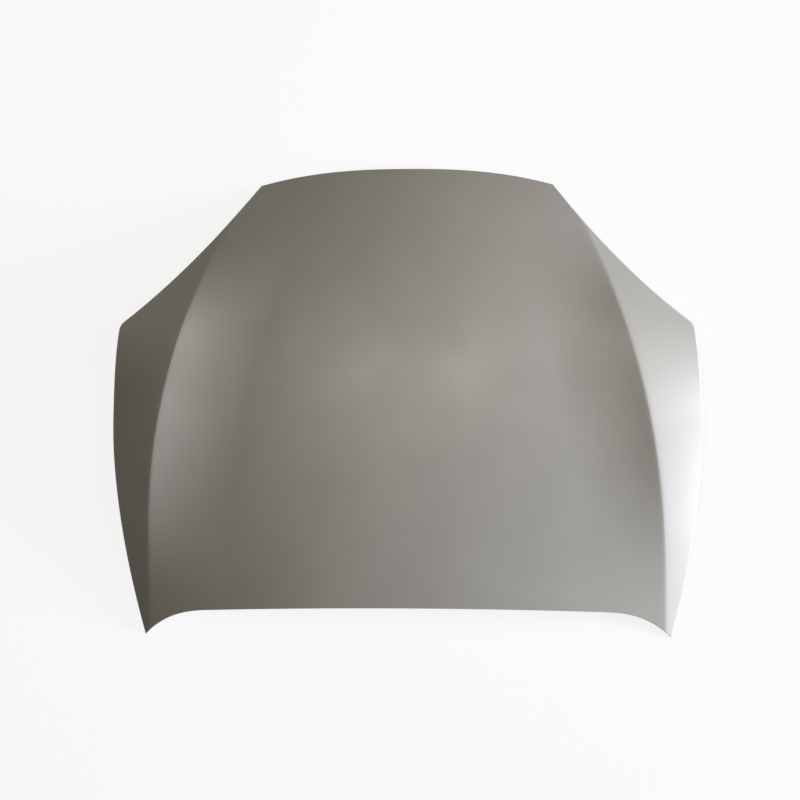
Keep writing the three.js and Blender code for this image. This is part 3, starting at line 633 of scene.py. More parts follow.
def add_node(tree: bpy.types.NodeTree, kind: str, links: dict | None = None,
             values: dict | None = None, **settings: object) -> bpy.types.Node:
    """Adds a node with its settings, its constant inputs and its links.

    Args:
        tree: The node tree.
        kind: The node's type.
        links: Input name or number to the output socket it takes.
        values: Input name or number to its constant.
        settings: The node's own attributes.

    Returns:
        The node.
    """
    made = tree.nodes.new(kind)
    for name, value in settings.items():
        setattr(made, name, value)
    for key, value in (values or {}).items():
        made.inputs[key].default_value = value
    for key, socket in (links or {}).items():
        tree.links.new(socket, made.inputs[key])
    return made


@dataclass(frozen=True)
class Finish:
    """A finish: its colours, its gloss, and the patterns that break it up."""

    name: str
    colour: str
    deep: str
    roughness: float
    rough_spread: float = 0.06
    metallic: float = 0.0
    specular: float = 0.5
    cloud: float = 0.25
    cloud_share: float = 0.5
    grain: float = 0.004
    grain_height: float = 0.00002

    def material(self) -> bpy.types.Material:
        """The finish as a material, made once and shared.

        Returns:
            The material: clouds of tone and gloss over a fine grain.
        """
        found = bpy.data.materials.get(self.name)
        if found:
            return found
        made = bpy.data.materials.new(self.name)
        made.use_nodes = True
        tree = made.node_tree
        tree.nodes.clear()
        coords = add_node(tree, "ShaderNodeTexCoord").outputs["Object"]
        # Clouds of uneven build in the coat, a few hands wide, with smaller ones inside them.
        cloud = add_node(tree, "ShaderNodeTexNoise", {"Vector": coords},
                         {"Scale": 1 / self.cloud, "Detail": 4.0, "Roughness": 0.55})
        toned = add_node(tree, "ShaderNodeMapRange", {"Value": cloud.outputs["Fac"]},
                         {"From Min": 0.3, "From Max": 0.7, "To Min": 0.0,
                          "To Max": self.cloud_share})
        colour = add_node(tree, "ShaderNodeMix", {"Factor": toned.outputs["Result"]},
                          {"A": linear(self.colour), "B": linear(self.deep)}, data_type="RGBA")
        gloss = add_node(tree, "ShaderNodeMapRange", {"Value": cloud.outputs["Fac"]},
                         {"From Min": 0.3, "From Max": 0.7,
                          "To Min": self.roughness - self.rough_spread,
                          "To Max": self.roughness + self.rough_spread})
        # The surface's own texture, drawn a little coarser than it is so that it shows.
        grain = add_node(tree, "ShaderNodeTexNoise", {"Vector": coords},
                         {"Scale": 1 / self.grain, "Detail": 2.0, "Roughness": 0.5})
        bump = add_node(tree, "ShaderNodeBump", {"Height": grain.outputs["Fac"]},
                        {"Strength": 1.0, "Distance": self.grain_height})
        shader = add_node(
            tree, "ShaderNodeBsdfPrincipled",
            {"Base Color": colour.outputs["Result"], "Roughness": gloss.outputs["Result"],
             "Normal": bump.outputs["Normal"]},
            {"Metallic": self.metallic, "Specular IOR Level": self.specular})
        add_node(tree, "ShaderNodeOutputMaterial", {"Surface": shader.outputs["BSDF"]})
        return made


class Finishes(Enum):
    """The finishes on the bonnet."""

    # Electro-dipped epoxy primer on the outer face: satin grey, faintly uneven, with a
    # slight orange peel.
    SKIN_PRIMER = Finish("e_coat_primer_outer", "#9b9891", "#918e87", 0.4, specular=0.32,
                         cloud_share=0.8, grain=0.005, grain_height=0.00001)
    # The same coat inside, where it runs thinner and duller.
    FRAME_PRIMER = Finish("e_coat_primer_inner", "#84817b", "#777570", 0.52, specular=0.35,
                          cloud=0.12, grain=0.004)
    # Bright zinc plate on turned and stamped steel: grey, with a cloudy bloom.
    ZINC = Finish("zinc_plate", "#b4b2aa", "#9a9993", 0.34, metallic=1.0, cloud=0.012,
                  grain=0.0015, grain_height=0.00002)
    # Anti-flutter mastic: near-black, dull and a little pitted.
    MASTIC = Finish("anti_flutter_mastic", "#2b2a29", "#222120", 0.82, cloud=0.01,
                    grain=0.002, grain_height=0.0001)
    # Seam sealer brushed along the hem, a shade warmer than the primer.
    SEALER = Finish("hem_sealer", "#9b978b", "#8c887d", 0.6, cloud=0.03,
                    grain=0.006, grain_height=0.0002)


@dataclass
class OuterPanel:
    """The pressed skin with its hem: one sheet that runs over the edge and back underneath."""

    face: Face
    thickness: float = 0.7
    fold_radius: float = 1.3
    columns_beside_crease: tuple[float, ...] = (0, 1.2, 2.6, 4.4, 6.8, 10, 14.5, 20.5, 28, 37)
    columns_in_half: int = 62
    flank_columns: int = 16
    flank_gathering: float = 1.4
    rows: tuple[int, int, int, int] = (90, 8, 34, 14)
    fold_steps: int = 9
    underside_insets: tuple[float, ...] = (9.0, 5.0)
    topside_insets: tuple[float, ...] = (2.2, 5.0)
    rear_bend_power: float = 8.0

    def stretches(self) -> Stretches:
        """Steps that are close together beside the crease and even elsewhere.

        Returns:
            The shares of each stretch of the outline.
        """
        reach = self.face.plan.crease_rear_x
        near = np.array(self.columns_beside_crease)
        far = np.linspace(near[-1], reach, self.columns_in_half + 1)[1:]
        half = np.concatenate([near, far]) / (2 * reach)
        across = np.concatenate([half, 1 - half[-2:0:-1]])
        flank = even(self.flank_columns) ** self.flank_gathering
        return Stretches(across, flank, *(even(count) for count in self.rows))

    def surface(self) -> SheetMesh:
        """The outer face as a patch between the creases and a leaf outside each, and the hem.

        Across, each row of the patch is the rear row and the nose row blended by the share of
        the way along, carried on the crease and then on the headlamp edge at its two ends.

        Returns:
            The grids of the sheet.
        """
        plan, steps = self.face.plan, self.stretches()
        rim = plan.loop(plan.seam_inset, steps)
        count, tip = len(steps.across), len(steps.across) + len(steps.rear_flank)
        nose_left = tip + steps.along + count
        lamp = tip + steps.along_flank
        bottom, lamp_point, top = rim[count], rim[lamp], rim[tip + steps.along]
        crease_y = mix(bottom[1], lamp_point[1], even(steps.along_flank))
        crease_points = np.stack([plan.crease_x(crease_y), crease_y], -1)
        edge = np.concatenate([crease_points, rim[lamp:tip + steps.along + 1]])
        share = ((edge[:, 1] - bottom[1]) / (top[1] - bottom[1]))[:, None]
        across = 2 * np.append(steps.across, 1.0) - 1
        rear = rim[:count + 1]
        nose = rim[nose_left - count:nose_left + 1][::-1]
        x = edge[:, :1] * across + (1 - share) * (rear[:, 0] - bottom[0] * across) \
            + share * (nose[:, 0] - top[0] * across)
        y = edge[:, 1:] + (1 - share) * (rear[:, 1] - bottom[1]) + share * (nose[:, 1] - top[1])
        sheet = SheetMesh()
        sheet.grid(self.face.below(np.stack([x, y], -1), 0.0))
        flank = self.flank(rim, edge, steps)
        sheet.grid(self.face.below(flank, 0.0))
        sheet.grid(self.face.below(flank[:, ::-1] * [-1, 1], 0.0))
        sheet.grid(self.hem(steps), closed=True)
        return sheet

    def flank(self, rim: Array, edge: Array, steps: Stretches) -> Array:
        """The right leaf: straight lines from the crease to the rim, bent to the rear edge.

        Args:
            rim: The outline's points.
            edge: Points up the crease and the headlamp edge.
            steps: The shares of each stretch.

        Returns:
            The leaf's grid in the plan.
        """
        count, tip = len(steps.across), len(steps.across) + len(steps.rear_flank)
        rows = steps.along_flank + 1
        inner, outer = edge[:rows, None], rim[tip:tip + rows, None]
        shares = np.append(steps.rear_flank, 1.0)[None, :, None]
        rear_bend = rim[count:tip + 1] - mix(inner[0], outer[0], shares[0])
        fade = (1 - np.arange(rows) / (rows - 1))[:, None, None] ** self.rear_bend_power
        return mix(inner, outer, shares) + fade * rear_bend

    def hem(self, steps: Stretches) -> Array:
        """Loops from the hem's return, round a half circle at the fold, to the face's rim.

        Args:
            steps: The shares of each stretch.

        Returns:
            The loops, stacked.
        """
        turns = np.linspace(np.pi, 0, self.fold_steps)
        under, over = self.underside_insets, (*self.topside_insets, self.face.plan.seam_inset)
        insets = np.concatenate([under, self.fold_radius * (1 - np.sin(turns)), over])
        depths = np.concatenate([[2 * self.fold_radius] * len(under),
                                 self.fold_radius * (1 - np.cos(turns)), [0.0] * len(over)])
        loops = [self.face.below(self.face.plan.loop(inset, steps), depth)
                 for inset, depth in zip(insets, depths)]
        return np.stack(loops)

    def build(self) -> bpy.types.Object:
        """Makes the skin and replaces the node.

        Returns:
            The skin.
        """
        points, faces = self.surface().arrays()
        piece = write_mesh("skin", points, faces)
        thicken(piece, self.thickness)
        return settle(piece, Finishes.SKIN_PRIMER.value, "skin_primer", "outer_panel")


@dataclass
class InnerField:
    """The frame's field inside its channel, as a patch between four sides of its outline.

    Places on the outline are in the steps of the part's own mesh, of which each stretch has a
    whole number, so a cell's corner is at a whole step.
    """

    face: Face
    columns: int = 7
    across_steps: int = 21
    flank_steps: int = 3
    along_steps: int = 21
    right_stretches: tuple[int, int, int, int] = (12, 2, 4, 3)
    row_steps: tuple[int, ...] = (0, 7, 13, 21)
    fineness: int = 10

    def __post_init__(self) -> None:
        """Works out where the four sides lie on the outline."""
        self.tip = self.across_steps + self.flank_steps
        self.nose = self.tip + self.along_steps
        self.nose_left = self.nose + self.across_steps
        self.tip_left = self.nose_left + self.along_steps
        self.total = self.tip_left + self.flank_steps
        self.border = self.outline(self.face.plan.frame_inset)
        self.bottom = self.at_step(self.border, np.float64(self.tip))
        self.top = self.at_step(self.border, np.float64(self.nose))
        steps = np.arange(self.along_steps * self.fineness + 1) / self.fineness
        self.right = self.at_step(self.border, self.tip + steps)

    def outline(self, distance: float) -> Array:
        """A fine outline at an inset, evenly stepped in each stretch.

        Args:
            distance: How far inside the edge, in millimetres.

        Returns:
            The outline's points in the plan.
        """
        counts = (self.across_steps, self.flank_steps, *self.right_stretches)
        steps = Stretches(*(even(count * self.fineness) for count in counts))
        return self.face.plan.loop(distance, steps)

    def at_step(self, outline: Array, step: Array) -> Array:
        """The outline's point at a step, on the straight between two fine points.

        Args:
            outline: A fine outline.
            step: Steps along it, which may run past its end and round again.

        Returns:
            The points in the plan.
        """
        places = np.arange(len(outline) + 1) / self.fineness
        closed = np.concatenate([outline, outline[:1]])
        turned = np.mod(step, self.total)
        return np.stack([np.interp(turned, places, closed[:, k]) for k in (0, 1)], -1)

    def rear_step(self, across: Array) -> Array:
        """The outline's step at the rear, where the end columns take the flanks' steps too.

        Args:
            across: Shares across, -1 to 1.

        Returns:
            The step at each.
        """
        place = (across + 1) / 2 * self.columns
        extra = np.minimum(place, 1) + np.maximum(place - self.columns + 1, 0)
        column_steps = self.across_steps / self.columns
        return self.tip_left + place * column_steps + self.flank_steps * extra

    def nose_step(self, across: Array) -> Array:
        """The outline's step at the nose."""
        return self.nose_left - (across + 1) / 2 * self.across_steps

    def along(self, step: Array) -> Array:
        """The share of the way along at a step of the right side."""
        y = np.interp(step, np.arange(len(self.right)) / self.fineness, self.right[:, 1])
        return (y - self.bottom[1]) / (self.top[1] - self.bottom[1])

    def at(self, across: Array, along: Array) -> Array:
        """The point at a share across, -1 to 1, and along, 0 to 1.

        The right side scaled by the share across, plus what the rear and the nose depart from
        that, each faded out by the share along.

        Args:
            across: Shares across.
            along: Shares along.

        Returns:
            The points in the plan.
        """
        y_right = mix(self.bottom[1], self.top[1], along)
        x_right = np.interp(y_right, self.right[:, 1], self.right[:, 0])
        rear = self.at_step(self.border, self.rear_step(across))
        nose = self.at_step(self.border, self.nose_step(across))
        x = x_right * across + (1 - along) * (rear[..., 0] - self.bottom[0] * across) \
            + along * (nose[..., 0] - self.top[0] * across)
        y = y_right + (1 - along) * (rear[..., 1] - self.bottom[1]) \
            + along * (nose[..., 1] - self.top[1])
        return np.stack([x, y], -1)


class CellKind(Enum):
    """What a cell of the frame is pressed into."""

    WINDOW = "window"
    BED = "bed"
    HINGE = "hinge"
    LATCH = "latch"


@dataclass
class Cell:
    """One cell of the frame, between the middles of its ribs. Its a and b run from 0 to 1."""

    field: InnerField
    column: int
    row: int
    steps: int = 14
    side_count: int = 20
    rear_end_steps: int = 22

    @property
    def kind(self) -> CellKind:
        """The end columns carry beds and hinge pads, the middle one the latch pad.

        Returns:
            What the cell is pressed into.
        """
        last = self.field.columns - 1
        if self.column in (0, last):
            return CellKind.HINGE if self.row == 0 else CellKind.BED
        if self.column == last / 2 and self.row == len(self.field.row_steps) - 2:
            return CellKind.LATCH
        return CellKind.WINDOW

    def at(self, a: Array, b: Array) -> Array:
        """The cell's point in the plan.

        Args:
            a: Shares across the cell.
            b: Shares along it.

        Returns:
            The points.
        """
        columns, rows = self.field.columns, self.field.row_steps
        across = 2 * (self.column + a) / columns - 1
        low, high = self.field.along(rows[self.row]), self.field.along(rows[self.row + 1])
        return self.field.at(across, mix(low, high, b))

    def size(self) -> Array:
        """The cell's width and length through its middle."""
        ends = self.at(np.array([0.0, 1.0, 0.5, 0.5]), np.array([0.5, 0.5, 0.0, 1.0]))
        return np.array([np.linalg.norm(ends[1] - ends[0]), np.linalg.norm(ends[3] - ends[2])])

    def side_steps(self) -> Array:
        """The right side's steps at which an end cell gets its outer points."""
        start, end = self.field.row_steps[self.row:self.row + 2]
        return mix(start, end, np.append(drawn_to_ends(self.side_count), 1.0))

    def side_shares(self, outer: bool) -> Array:
        """The values of b along one side, both ends included.

        Args:
            outer: Whether it is the side of an end cell that follows the bonnet's side.

        Returns:
            The shares.
        """
        if not outer:
            return np.append(drawn_to_ends(self.side_count), 1.0)
        along = self.field.along(self.side_steps())
        return (along - along[0]) / (along[-1] - along[0])

    def rear_shares(self) -> Array:
        """The values of a along the rear side, which is longer in the first row's end cells."""
        longer = self.row == 0 and self.column in (0, self.field.columns - 1)
        return drawn_to_ends(self.rear_end_steps if longer else self.steps)

    def boundary(self) -> Array:
        """The cell's edge, once round from its left rear corner.

        Returns:
            The values of a and b.
        """
        last = self.field.columns - 1
        rear = self.rear_shares()
        right = self.side_shares(self.column == last)[:-1]
        front = 1 - drawn_to_ends(self.steps)
        left = self.side_shares(self.column == 0)[:0:-1]
        a = np.concatenate([rear, np.ones_like(right), front, np.zeros_like(left)])
        b = np.concatenate([np.zeros_like(rear), right, np.ones_like(front), left])
        return np.stack([a, b], -1)

    def loop(self, low: Array, high: Array, corner: float) -> Array:
        """The boundary drawn in to a smaller rectangle of the cell with round corners.

        Each point keeps its share along its side. Past the start of a corner it is moved onto a
        circle about the corner's centre.

        Args:
            low: The rectangle's low a and b.
            high: Its high a and b.
            corner: The corner radius, in millimetres.

        Returns:
            The loop's points in the plan.
        """
        size, nothing = self.size(), 1e-9
        half = (np.asarray(high) - low) * size / 2
        middle = (np.asarray(high) + low) / 2
        radius = min(corner, half.min())
        spot = (self.boundary() * 2 - 1) * half
        core = np.clip(spot, radius - half, half - radius)
        away = spot - core
        length = np.linalg.norm(away, axis=-1, keepdims=True)
        in_corner = (np.abs(away).min(axis=-1, keepdims=True) > nothing) & (length > nothing)
        spot = np.where(in_corner, core + away / np.maximum(length, nothing) * radius, spot)
        shares = middle + spot / size
        return self.at(shares[:, 0], shares[:, 1])

    def inset_loop(self, distance: float, corner: float) -> Array:
        """The loop at a distance inside the cell's boundary."""
        share = distance / self.size()
        return self.loop(share, 1 - share, corner)


@dataclass
class InnerPanel:
    """The pressed frame: hem flange, channel, ribs, beds, pads and lightening windows."""

    face: Face
    thickness: float = 0.6
    flange_depth: float = 1.0
    wall_start: float = 11.0
    wall_end: float = 22.0
    channel_insets: tuple[float, ...] = (1.8, 5, 9, 11, 12, 13.2, 14.8, 16.5, 18.2, 19.8, 21, 22,
                                         26, 32, 38)
    rib_depth: float = 24.0
    rib_half_width: float = 10.0
    rib_wall: float = 11.0
    wall_insets: tuple[float, ...] = (0, 6, 10, 11.2, 12.6, 14.4, 16.4, 18.2, 19.8, 21)
    land_insets: tuple[float, ...] = (26, 32, 37, 37.8, 38.8, 40)
    corner_insets: tuple[float, ...] = (0, 10, 21, 40)
    corner_radii: tuple[float, ...] = (0, 12, 20, 22)
    land_depth: float = 5.0
    bed_depth: float = 10.0
    bed_shares: tuple[float, ...] = (0.08, 0.25, 0.5, 0.75, 1.0)
    land_width: float = 16.0
    lip: float = 3.0
    lip_rounding: float = 0.45
    pad_corner: float = 12.0
    pad_wall_rows: int = 10
    pad_rounding: float = 0.3
    pad_shares: tuple[float, ...] = (0.06, 0.3, 0.6, 1.0)
    peg_sides: int = 32
    peg_reach: float = 9.0
    floor_clearance: float = 4.0
    hinge_level: float = 27.0
    hinge_a: tuple[float, float] = (0.26, 0.72)
    hinge_b: tuple[float, float] = (0.3, 0.72)
    latch_level: float = 42.0
    latch_a: tuple[float, float] = (0.14, 0.86)
    latch_b: tuple[float, float] = (0.52, 0.8)
    hinge_bolts: float = 56.0
    hinge_hole: float = 4.6
    striker_bolts: float = 52.0
    striker_hole: float = 3.9
    patch: InnerField = field(init=False)
    cells: list[Cell] = field(init=False)

    def __post_init__(self) -> None:
        """Sets the field and its cells out."""
        self.patch = InnerField(self.face)
        self.cells = [Cell(self.patch, column, row) for column in range(self.patch.columns)
                      for row in range(len(self.patch.row_steps) - 1)]

    def depth(self, plan_points: Array, depth: Array | float) -> Array:
        """The depth, except near the floor, where the frame is kept clear of it.

        Args:
            plan_points: Points of the plan.
            depth: The depth wanted there.

        Returns:
            The depth to use.
        """
        room = self.face.height(plan_points[..., 0], plan_points[..., 1]) - self.floor_clearance
        return np.minimum(depth, np.maximum(room, self.flange_depth))

    def lower(self, plan_points: Array, depth: Array | float) -> Array:
        """Points of the frame at a depth below the face."""
        return self.face.below(plan_points, self.depth(plan_points, depth))

    def channel(self) -> Array:
        """The ring from the flange's edge, down the wall, to the first rib's middle line.

        Its points lie on the same steps as the cells' boundaries, so the two join.

        Returns:
            The ring's loops, stacked.
        """
        last = self.patch.columns
        row_count = len(self.patch.row_steps) - 1
        first_row = [cell for cell in self.cells if cell.row == 0]
        rear = np.concatenate([
            self.patch.rear_step(2 * (cell.column + cell.rear_shares()) / last - 1)
            for cell in first_row])
        ends = [cell.side_steps()[:-1] for cell in self.cells[-row_count:]]
        right = self.patch.tip + self.patch.total + np.concatenate(ends)
        share = np.concatenate([column + drawn_to_ends(first_row[0].steps)
                                for column in range(last)])
        nose = self.patch.nose + self.patch.total + share / last * self.patch.across_steps
        left_ends = [cell.side_steps()[:0:-1] for cell in self.cells[:row_count][::-1]]
        left = self.patch.tip_left + self.patch.total - np.concatenate(left_ends)
        steps = np.concatenate([rear, right, nose, left])
        insets = np.array((*self.channel_insets, self.face.plan.frame_inset))
        depths = mix(self.flange_depth, self.rib_depth,
                     ramp(insets, self.wall_start, self.wall_end))
        loops = [self.lower(self.patch.at_step(self.patch.outline(inset), steps), depth)
                 for inset, depth in zip(insets, depths)]
        return np.stack(loops)

    def window_rings(self, cell: Cell) -> list[Array]:
        """Rings from the ribs' middle lines, up the wall, over the land, to the window's lip.

        Args:
            cell: A window's cell.

        Returns:
            The rings.
        """
        land = self.rib_half_width + self.rib_wall
        window = land + self.land_width
        insets = np.array(self.wall_insets + self.land_insets)
        rise = ramp(insets, self.rib_half_width, land)
        depths = self.rib_depth - (self.rib_depth - self.land_depth) * rise \
            + self.lip * ramp(insets, window, window + self.lip, self.lip_rounding)
        return [self.lower(cell.inset_loop(inset, self.corner(inset)), depth)
                for inset, depth in zip(insets, depths)]

    def corner(self, inset: float) -> float:
        """The corner radius of a cell's ring: none on the middle line, 22 mm at the window."""
        return float(np.interp(inset, self.corner_insets, self.corner_radii))

    def bed_rings(self, cell: Cell) -> list[Array]:
        """Rings from the ribs up to a raised bed, and on to the bed's middle.

        Args:
            cell: A bed's cell.

        Returns:
            The rings.
        """
        land = self.rib_half_width + self.rib_wall
        insets = np.array(self.wall_insets)
        depths = self.rib_depth - (self.rib_depth - self.bed_depth) * ramp(
            insets, self.rib_half_width, land)
        rings = [self.lower(cell.inset_loop(inset, self.corner(inset)), depth)
                 for inset, depth in zip(insets, depths)]
        edge = cell.inset_loop(land, self.corner(land))
        middle = cell.at(np.float64(0.5), np.float64(0.5))
        return rings + [self.lower(mix(edge, middle, share), self.bed_depth)
                        for share in self.bed_shares]

    def pad_rings(self, cell: Cell, a: tuple[float, float], b: tuple[float, float],
                  level: float) -> list[Array]:
        """Rings from the ribs to a flat level pad. The wall's height follows the pressed ramp.

        Args:
            cell: A pad's cell.
            a: The pad's range of shares across the cell.
            b: Its range along the cell.
            level: Its height above the floor.

        Returns:
            The rings.
        """
        rings = [self.lower(cell.inset_loop(inset, self.corner(inset)), self.rib_depth)
                 for inset in self.wall_insets[:3]]
        edge = cell.loop(np.array([a[0], b[0]]), np.array([a[1], b[1]]), self.pad_corner)
        pad = np.concatenate([edge, np.full((len(edge), 1), level)], -1)
        middle = np.append(cell.at(np.float64(sum(a) / 2), np.float64(sum(b) / 2)), level)
        foot = rings[-1]
        for share in np.linspace(0, 1, self.pad_wall_rows + 1)[1:]:
            ring = mix(foot, pad, share)
            ring[:, 2] = mix(foot[:, 2], level, ramp(share, 0.0, 1.0, self.pad_rounding))
            rings.append(ring)
        return rings + [mix(pad, middle, share) for share in self.pad_shares]

    def hinge_share(self, cell: Cell) -> tuple[float, float]:
        """The pad's range of a, mirrored on the left."""
        low, high = self.hinge_a
        return (1 - high, 1 - low) if cell.column == 0 else (low, high)

    def rings(self, cell: Cell) -> Array:
        """A cell's rings from its boundary inwards.

        Args:
            cell: The cell.

        Returns:
            The rings, stacked.
        """
        if cell.kind is CellKind.WINDOW:
            made = self.window_rings(cell)
        elif cell.kind is CellKind.BED:
            made = self.bed_rings(cell)
        elif cell.kind is CellKind.HINGE:
            made = self.pad_rings(cell, self.hinge_share(cell), self.hinge_b, self.hinge_level)
        else:
            made = self.pad_rings(cell, self.latch_a, self.latch_b, self.latch_level)
        return np.stack(made)

    def hinge_middle(self, cell: Cell) -> Array:
        """The middle of a hinge pad in the plan."""
        a, b = self.hinge_share(cell), self.hinge_b
        return cell.at(np.float64(sum(a) / 2), np.float64(sum(b) / 2))

    def latch_middle(self) -> Array:
        """The middle of the latch pad in the plan."""
        cell = next(cell for cell in self.cells if cell.kind is CellKind.LATCH)
        return cell.at(np.float64(sum(self.latch_a) / 2), np.float64(sum(self.latch_b) / 2))

    def holes(self) -> list[tuple[float, float, float, float]]:
        """The bolt holes through the pads.

        Returns:
            The x, y, level and radius of each.
        """
        hinges = [self.hinge_middle(cell) for cell in self.cells if cell.kind is CellKind.HINGE]
        found = [(x, y + side * self.hinge_bolts / 2, self.hinge_level, self.hinge_hole)
                 for x, y in hinges for side in (-1, 1)]
        x, y = self.latch_middle()
        return found + [(x + side * self.striker_bolts / 2, y, self.latch_level, self.striker_hole)
                        for side in (-1, 1)]

    def cut_holes(self, piece: bpy.types.Object) -> None:
        """Cuts the bolt holes with one object of upright round pegs.

        Args:
            piece: The frame.
        """
        turn = np.linspace(0, 2 * np.pi, self.peg_sides, endpoint=False)
        pegs = SheetMesh()
        for x, y, level, radius in self.holes():
            ring = np.stack([x + radius * np.cos(turn), y + radius * np.sin(turn)], -1)
            middle = np.broadcast_to([x, y], ring.shape)
            low, high = (np.full((self.peg_sides, 1), level + reach)
                         for reach in (-self.peg_reach, self.peg_reach))
            rows = [(middle, low), (ring, low), (ring, high), (middle, high)]
            pegs.grid(np.stack([np.concatenate(row, -1) for row in rows]), closed=True)
        points, faces = pegs.arrays()
        cutter = write_mesh("pegs", points, faces)
        cut = piece.modifiers.new("bolt_holes", "BOOLEAN")
        cut.operation = "DIFFERENCE"
        cut.solver = "EXACT"
        cut.object = cutter
        apply_modifiers(piece)
        bpy.data.objects.remove(cutter)

    def build(self) -> bpy.types.Object:
        """Makes the frame and replaces the node.

        Returns:
            The frame.
        """
        sheet = SheetMesh()
        sheet.grid(self.channel(), closed=True)
        for cell in self.cells:
            sheet.grid(self.rings(cell), closed=True)
        points, faces = sheet.arrays()
        piece = write_mesh("pressed_frame", points, faces)
        thicken(piece, self.thickness)
        self.cut_holes(piece)
        return settle(piece, Finishes.FRAME_PRIMER.value, "frame_primer", "inner_panel")


@dataclass
class HemSealer:
    """The bead of sealer in the groove between the hem's return and the frame's wall."""

    face: Face
    middle_inset: float = 9.8
    middle_depth: float = 2.5
    half_width: float = 2.6
    half_height: float = 0.9
    counts: tuple[int, ...] = (130, 6, 90, 8, 36, 16)
    sides: int = 12

    def build(self) -> bpy.types.Object:
        """Carries a flat oval along the outline.

        Returns:
            The bead.
        """
        steps = Stretches(*(even(count) for count in self.counts))
        turns = np.linspace(0, 2 * np.pi, self.sides, endpoint=False)
        insets = self.middle_inset + self.half_width * np.cos(turns)
        depths = self.middle_depth + self.half_height * np.sin(turns)
        loops = [self.face.below(self.face.plan.loop(inset, steps), depth)
                 for inset, depth in zip(insets, depths)]
        sheet = SheetMesh()
        sheet.grid(np.stack(loops + loops[:1]), closed=True)
        points, faces = sheet.arrays()
        piece = write_mesh("hem_sealer", points, faces)
        return settle(piece, Finishes.SEALER.value, "frame_primer")


